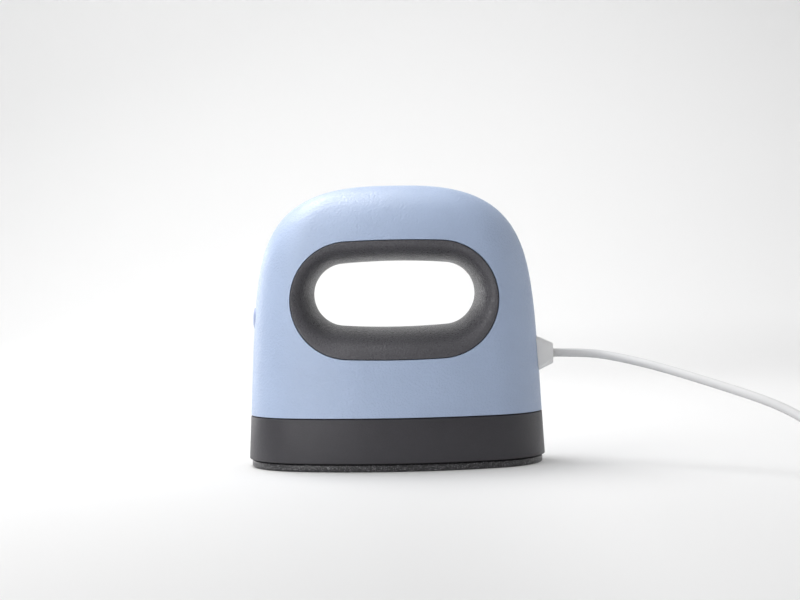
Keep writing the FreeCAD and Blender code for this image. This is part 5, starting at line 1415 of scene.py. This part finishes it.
@dataclass(frozen=True)
class Cord:
    """The mains cord: out of the boot, down to the surface, round its coil and to the plug.

    The points of its way and the coil's sizes are in millimetres.
    """

    radius: float = 1.65 * MM
    length: float = 1.7
    exit: Point = (61.5 * MM, 0.0, 42.0 * MM)
    way_down: tuple[Point, ...] = (
        (61.5, 0.0, 42.0), (75.0, 0.0, 42.0), (87.5, -8.5, 39.9), (101.0, -23.5, 36.6),
        (118.0, -44.5, 31.2), (136.5, -71.5, 24.8), (148.0, -91.0, 16.0), (158.0, -106.5, 5.6),
        (167.0, -115.2, 2.15), (178.0, -122.0, 2.15),
    )
    way_to_plug: tuple[Point, ...] = (
        (178.0, -122.0, 12.05), (187.5, -127.9, 12.05), (198.5, -130.9, 8.6),
        (209.8, -128.9, 3.8), (218.3, -121.2, 1.75), (222.7, -109.7, 1.7),
        (223.2, -94.7, 1.8), (221.4, -78.5, 3.4), (218.0, -63.0, 6.5), (218.0, -48.0, 6.5),
    )
    coil_centre: tuple[float, float] = (190.3, -102.3)
    entry_azimuth: float = 238.0
    ring_radii: tuple[float, ...] = (23.15, 19.8, 16.45)
    layer_heights: tuple[float, ...] = (2.15, 5.45, 8.75, 12.05)
    shift: float = 60.0
    turn_points: int = 24
    swell: float = 1.006

    def _rings(self) -> Iterable[Point]:
        """Yields the turn in degrees, the radius and the height at both ends of each ring.

        The cord passes to the next ring over a shift, the last of a turn. It winds inwards and
        outwards by turns, and a ring before or after a climb is shorter by one more shift.
        """
        turn = 0.0
        last_layer, last_place = len(self.layer_heights) - 1, len(self.ring_radii) - 1
        for layer, height in enumerate(self.layer_heights):
            for place, radius in enumerate(self.ring_radii[:: (-1) ** layer]):
                climbed = place == 0 and layer > 0
                climbs = place == last_place and layer < last_layer
                goes_on = (layer, place) != (last_layer, last_place)
                yield turn, radius, height
                turn += 360 - self.shift * (climbed + climbs + goes_on)
                yield turn, radius, height
                turn += self.shift

    def _coil(self) -> list[Point]:
        """Returns the turns' points, layer on layer, each a cord's width from the next."""
        turns, radii, heights = (np.array(column) for column in zip(*self._rings()))
        points = []
        for turn in np.arange(360 / self.turn_points, turns[-1], 360 / self.turn_points):
            place = int(np.searchsorted(turns, turn, side="right")) - 1
            share = (turn - turns[place]) / (turns[place + 1] - turns[place])
            share = share * share * (3 - 2 * share)
            radius = radii[place] + (radii[place + 1] - radii[place]) * share
            height = heights[place] + (heights[place + 1] - heights[place]) * share
            angle = math.radians(self.entry_azimuth + turn)
            x = self.coil_centre[0] + radius * self.swell * math.cos(angle)
            y = self.coil_centre[1] + radius * self.swell * math.sin(angle)
            points.append((x, y, height))
        return points

    def build(self, with_pieces: Sequence[bpy.types.Object]) -> bpy.types.Object:
        """Lays the cord.

        Args:
            with_pieces: the pieces on the cord; not used.

        Returns:
            The cord's curve, on the housing.
        """
        curve = bpy.data.curves.new("mains_cord", "CURVE")
        curve.dimensions = "3D"
        points = [*self.way_down, *self._coil(), *self.way_to_plug]
        spline = curve.splines.new("NURBS")
        spline.points.add(len(points) - 1)
        for place, point in zip(spline.points, points):
            place.co = (*(size * MM for size in point), 1.0)
        spline.order_u = 3
        spline.use_endpoint_u = True
        spline.resolution_u = 5
        curve.bevel_depth = self.radius
        curve.bevel_resolution = 6
        curve.use_fill_caps = True
        cord = new_piece("mains_cord", curve)
        curve.materials.append(PALETTE.material(CORD_WHITE))
        declare(cord, HOUSING, ["power_cord", "cord_coil", "plug_lead"])
        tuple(self.exit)
        return cord


@dataclass(frozen=True)
class CordFittings:
    """The boot at the housing, the tie round the coil and the plug."""

    boot_edge: float = 0.45 * MM
    tie_edge: float = 0.12 * MM
    plug_edge: float = 0.5 * MM
    pin_edge: float = 0.2 * MM

    def boot(self) -> bpy.types.Object:
        """Builds the boot, a square-cut taper with rounded corners."""
        piece = rounded_copy("cord_boot_moulding", "cord_boot", self.boot_edge)
        PALETTE.dress(piece, BOOT_WHITE)
        return declare(piece, HOUSING, ["cord_boot"])

    def on_cord(self) -> list[bpy.types.Object]:
        """Builds the pieces that the cord carries."""
        tie = rounded_copy("coil_tie_strap", "cord_tie", self.tie_edge)
        PALETTE.dress(tie, TIE_BLACK)
        declare(tie, HOUSING, ["cord_tie"])
        plug = rounded_copy("plug_moulding", "plug_body", self.plug_edge)
        PALETTE.dress(plug, CORD_WHITE)
        declare(plug, HOUSING, ["plug_body"])
        pins = rounded_copy("plug_blades", "plug_pins", self.pin_edge)
        PALETTE.dress(pins, BRASS)
        declare(pins, HOUSING, ["plug_pins"])
        return [tie, plug, pins]


@dataclass(frozen=True)
class PowerButton:
    """The round button at the end of the housing."""

    edge: float = 0.35 * MM

    def build(self) -> bpy.types.Object:
        """Builds the button.

        Returns:
            The piece, on the button's body.
        """
        piece = rounded_copy("power_button_cap", "power_button", self.edge)
        PALETTE.dress(piece, BUTTON_BLUE)
        return declare(piece, BUTTON, ["power_button"])


# ---------------------------------------------------------------------------------------------
# Stage


BLACK: Colour = (0.0, 0.0, 0.0)
WHITE: Colour = (1.0, 1.0, 1.0)


@dataclass(frozen=True)
class Lamp:
    """A square area lamp that looks at a point and spreads over an angle in degrees."""

    name: str
    place: Point
    aim: Point
    size: float
    power: float
    spread: float = 180.0

    def hang(self) -> None:
        """Adds the lamp to the scene."""
        light = bpy.data.lights.new(self.name, "AREA")
        light.spread = math.radians(self.spread)
        light.size = self.size
        light.energy = self.power
        look = (Vector(self.aim) - Vector(self.place)).to_track_quat("-Z", "Y").to_matrix()
        lamp = new_piece(self.name, light)
        lamp.matrix_world = Matrix.Translation(self.place) @ look.to_4x4()


LAMPS = (
    Lamp("key_lamp", (-0.50, -0.30, 0.55), (0.0, 0.0, 0.06), 0.55, 1.8),
    Lamp("rear_lamp", (-0.24, 0.20, 0.61), (0.0, 0.0, 0.08), 0.40, 3.7),
    Lamp("left_panel", (-0.50, 0.60, 0.15), (0.0, 0.0, 0.05), 0.25, 0.55),
    Lamp("low_panel", (-0.62, -0.70, 0.16), (0.0, 0.0, 0.05), 0.50, 1.85),
    Lamp("right_panel", (0.60, 0.00, 0.22), (0.0, 0.0, 0.06), 0.30, 0.23),
    Lamp("backdrop_lamp", (0.0, 0.30, 1.10), (0.0, 1.0, 0.0), 0.8, 1.85, 100.0),
)


@dataclass(frozen=True)
class Studio:
    """Camera, pale floor, backdrop and soft lights.

    A span gives where one tone starts to pass into the next along an axis, and where it ends. A
    glow is painted light: how much brighter a part of the floor or backdrop looks to camera and
    gloss rays than it is lit, which also lightens the press's shadows on the floor.
    """

    camera_place: Point = (2.16 * MM, -0.7, 73.5 * MM)
    camera_dip: float = 0.8
    camera_roll: float = -1.1
    camera_near: float = 0.01
    frame_width: float = 800.0
    pixels_per_radian: float = 1789.0
    sensor: float = 36.0
    floor_half: float = 4.0
    floor_front: float = -4.0
    wall_y: float = 1.1
    wall_height: float = 2.2
    bend: float = 0.5
    bend_steps: int = 24
    # The right floor is darker than the left so that, with its stronger glow, its lit parts stay as
    # bright while its shadows come out lighter: painted light.
    floor_left: Colour = (0.70, 0.70, 0.70)
    floor_right: Colour = (0.65, 0.65, 0.65)
    floor_roughness: float = 0.7
    floor_gloss: float = 0.2
    # The backdrop passes from its left colour to the shaded one to the right and higher up: painted
    # shade.
    backdrop_left: Colour = (0.90, 0.90, 0.90)
    backdrop_right: Colour = (0.68, 0.68, 0.68)
    right_share: float = 0.45
    high_share: float = 0.35
    patch_size: float = 0.2
    patch_share: float = 0.02
    world_left: float = 0.53
    world_right: float = 0.43
    world_span: Span = (-0.7, 0.7)
    seen_strength: float = 1.15
    # Glows are painted light, emission that only camera, glossy and transmission rays see; the
    # right glow lightens the press's cast shadow on the floor to its right.
    left_glow: float = 0.06
    right_glow: float = 0.20
    low_glow: float = 0.05
    high_glow: float = 0.11
    far_glow: float = 0.60
    floor_span: Span = (0.0, 0.07)
    behind_span: Span = (0.25, 0.85)
    rise_span: Span = (0.0, 0.04)
    backdrop_span: Span = (-0.5, 0.6)
    high_span: Span = (0.15, 0.75)
    far_side_span: Span = (0.45, 1.6)
    far_front_span: Span = (0.32, 1.4)

    def camera(self) -> None:
        """Sets the camera in front of the press, a little above its middle."""
        lens = bpy.data.cameras.new("camera")
        lens.sensor_width = self.sensor
        lens.sensor_fit = "HORIZONTAL"
        lens.lens = self.sensor * self.pixels_per_radian / self.frame_width
        lens.clip_start = self.camera_near
        camera = new_piece("camera", lens)
        tilt = Matrix.Rotation(math.radians(90 - self.camera_dip), 4, "X")
        roll = Matrix.Rotation(math.radians(self.camera_roll), 4, "Z")
        camera.matrix_world = Matrix.Translation(self.camera_place) @ tilt @ roll
        bpy.context.scene.camera = camera

    def surroundings(self) -> None:
        """Sets the floor that turns up into a backdrop, the world and the lamps."""
        profile = [(self.floor_front, 0.0)]
        for turn in np.linspace(0, QUARTER, self.bend_steps):
            y = self.wall_y - self.bend + self.bend * math.sin(turn)
            profile.append((y, self.bend * (1 - math.cos(turn))))
        profile.append((self.wall_y, self.wall_height))
        sides = (-self.floor_half, self.floor_half)
        rows = np.array([[(x, y, z) for x in sides] for y, z in profile])
        floor = new_piece("floor", grid_mesh("floor", rows, (False, False)))
        floor.data.shade_smooth()
        floor.data.materials.append(self._floor_material())
        bpy.context.scene.world = self._world()
        for lamp in LAMPS:
            lamp.hang()

    def _world(self) -> bpy.types.World:
        """Makes a world that is brighter to the left, and pale all round to the camera."""
        world = bpy.data.worlds.new("studio")
        world.use_nodes = True
        tree = Tree(world.node_tree)
        tree.tree.nodes.clear()
        seen = tree.value("ShaderNodeLightPath", "Is Camera Ray")
        way = tree.node("ShaderNodeTexCoord").outputs["Generated"]
        right = tree.value("ShaderNodeSeparateXYZ", 0, None, {0: way}).step(*self.world_span)
        lit = self.world_left * (1 - right) + self.world_right * right
        strength = seen * self.seen_strength + (1 - seen) * lit
        light = tree.node("ShaderNodeBackground", None, {"Strength": strength})
        tree.node("ShaderNodeOutputWorld", None, {"Surface": light.outputs[0]})
        return world

    def _floor_material(self) -> bpy.types.Material:
        """Makes a matt white that holds shadows, with painted light that camera and gloss see."""
        shader = Shader("floor_white")
        place = shader.node("ShaderNodeSeparateXYZ", None, {0: shader.place}).outputs
        x, y, z = (Value(shader, output) for output in place)
        path = shader.node("ShaderNodeLightPath").outputs
        rays = ("Is Camera Ray", "Is Glossy Ray", "Is Transmission Ray")
        camera, glossy, through = (Value(shader, path[ray]) for ray in rays)
        seen = camera.most(glossy).most(through)
        beside = x.step(*self.floor_span)
        behind = y.step(*self.behind_span)
        far = x.size().step(*self.far_side_span).most((0 - y).step(*self.far_front_span))
        floor = shader.blend(beside, self.floor_left, self.floor_right)
        # Painted shade: the backdrop's colour turns darker to the right and higher up.
        right = x.step(*self.backdrop_span)
        high = z.step(*self.high_span)
        both_share = 1 - self.right_share - self.high_share
        shade = right * self.right_share + high * self.high_share + right * high * both_share
        patches = shader.noise(self.patch_size) * self.patch_share
        backdrop = shader.blend(shade + patches, self.backdrop_left, self.backdrop_right)
        # Painted light: a glow that camera and gloss rays see, strongest to the right of the press,
        # where it lightens the press's shadow.
        near = self.left_glow * (1 - beside) + self.right_glow * beside
        rise = z.step(*self.rise_span)
        rising = self.low_glow * (1 - rise) + self.high_glow * rise
        glow = near * (1 - behind) + rising * behind
        glow = glow * (1 - far) + self.far_glow * far
        return shader.close(
            Base_Color=shader.blend(behind, floor, backdrop),
            Roughness=self.floor_roughness,
            Specular_IOR_Level=self.floor_gloss,
            Emission_Color=shader.blend(seen * glow, BLACK, WHITE),
            Emission_Strength=1.0,
        )


def dress_inner_nodes() -> None:
    """Gives every solid that stays in the picture its own finish."""
    for finish, names in INNER_FINISHES.items():
        for name in names:
            PALETTE.dress(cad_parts[name], finish)
            LOG.info("%s: solid kept, %s", name, finish.name)


def main() -> None:
    """Builds the press and its surroundings."""
    logging.basicConfig(level=logging.INFO, format="%(message)s")
    bpy.context.scene.view_settings.view_transform = "Standard"
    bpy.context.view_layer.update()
    studio = Studio()
    studio.camera()
    fittings = CordFittings()
    Cord().build(fittings.on_cord())
    fittings.boot()
    for side in Side:
        ShellHalf(side).build()
        GripLiner(side).build()
    Base().build()
    ShellScrews().build()
    PowerButton().build()
    dress_inner_nodes()
    studio.surroundings()


if __name__ == "__main__":
    main()
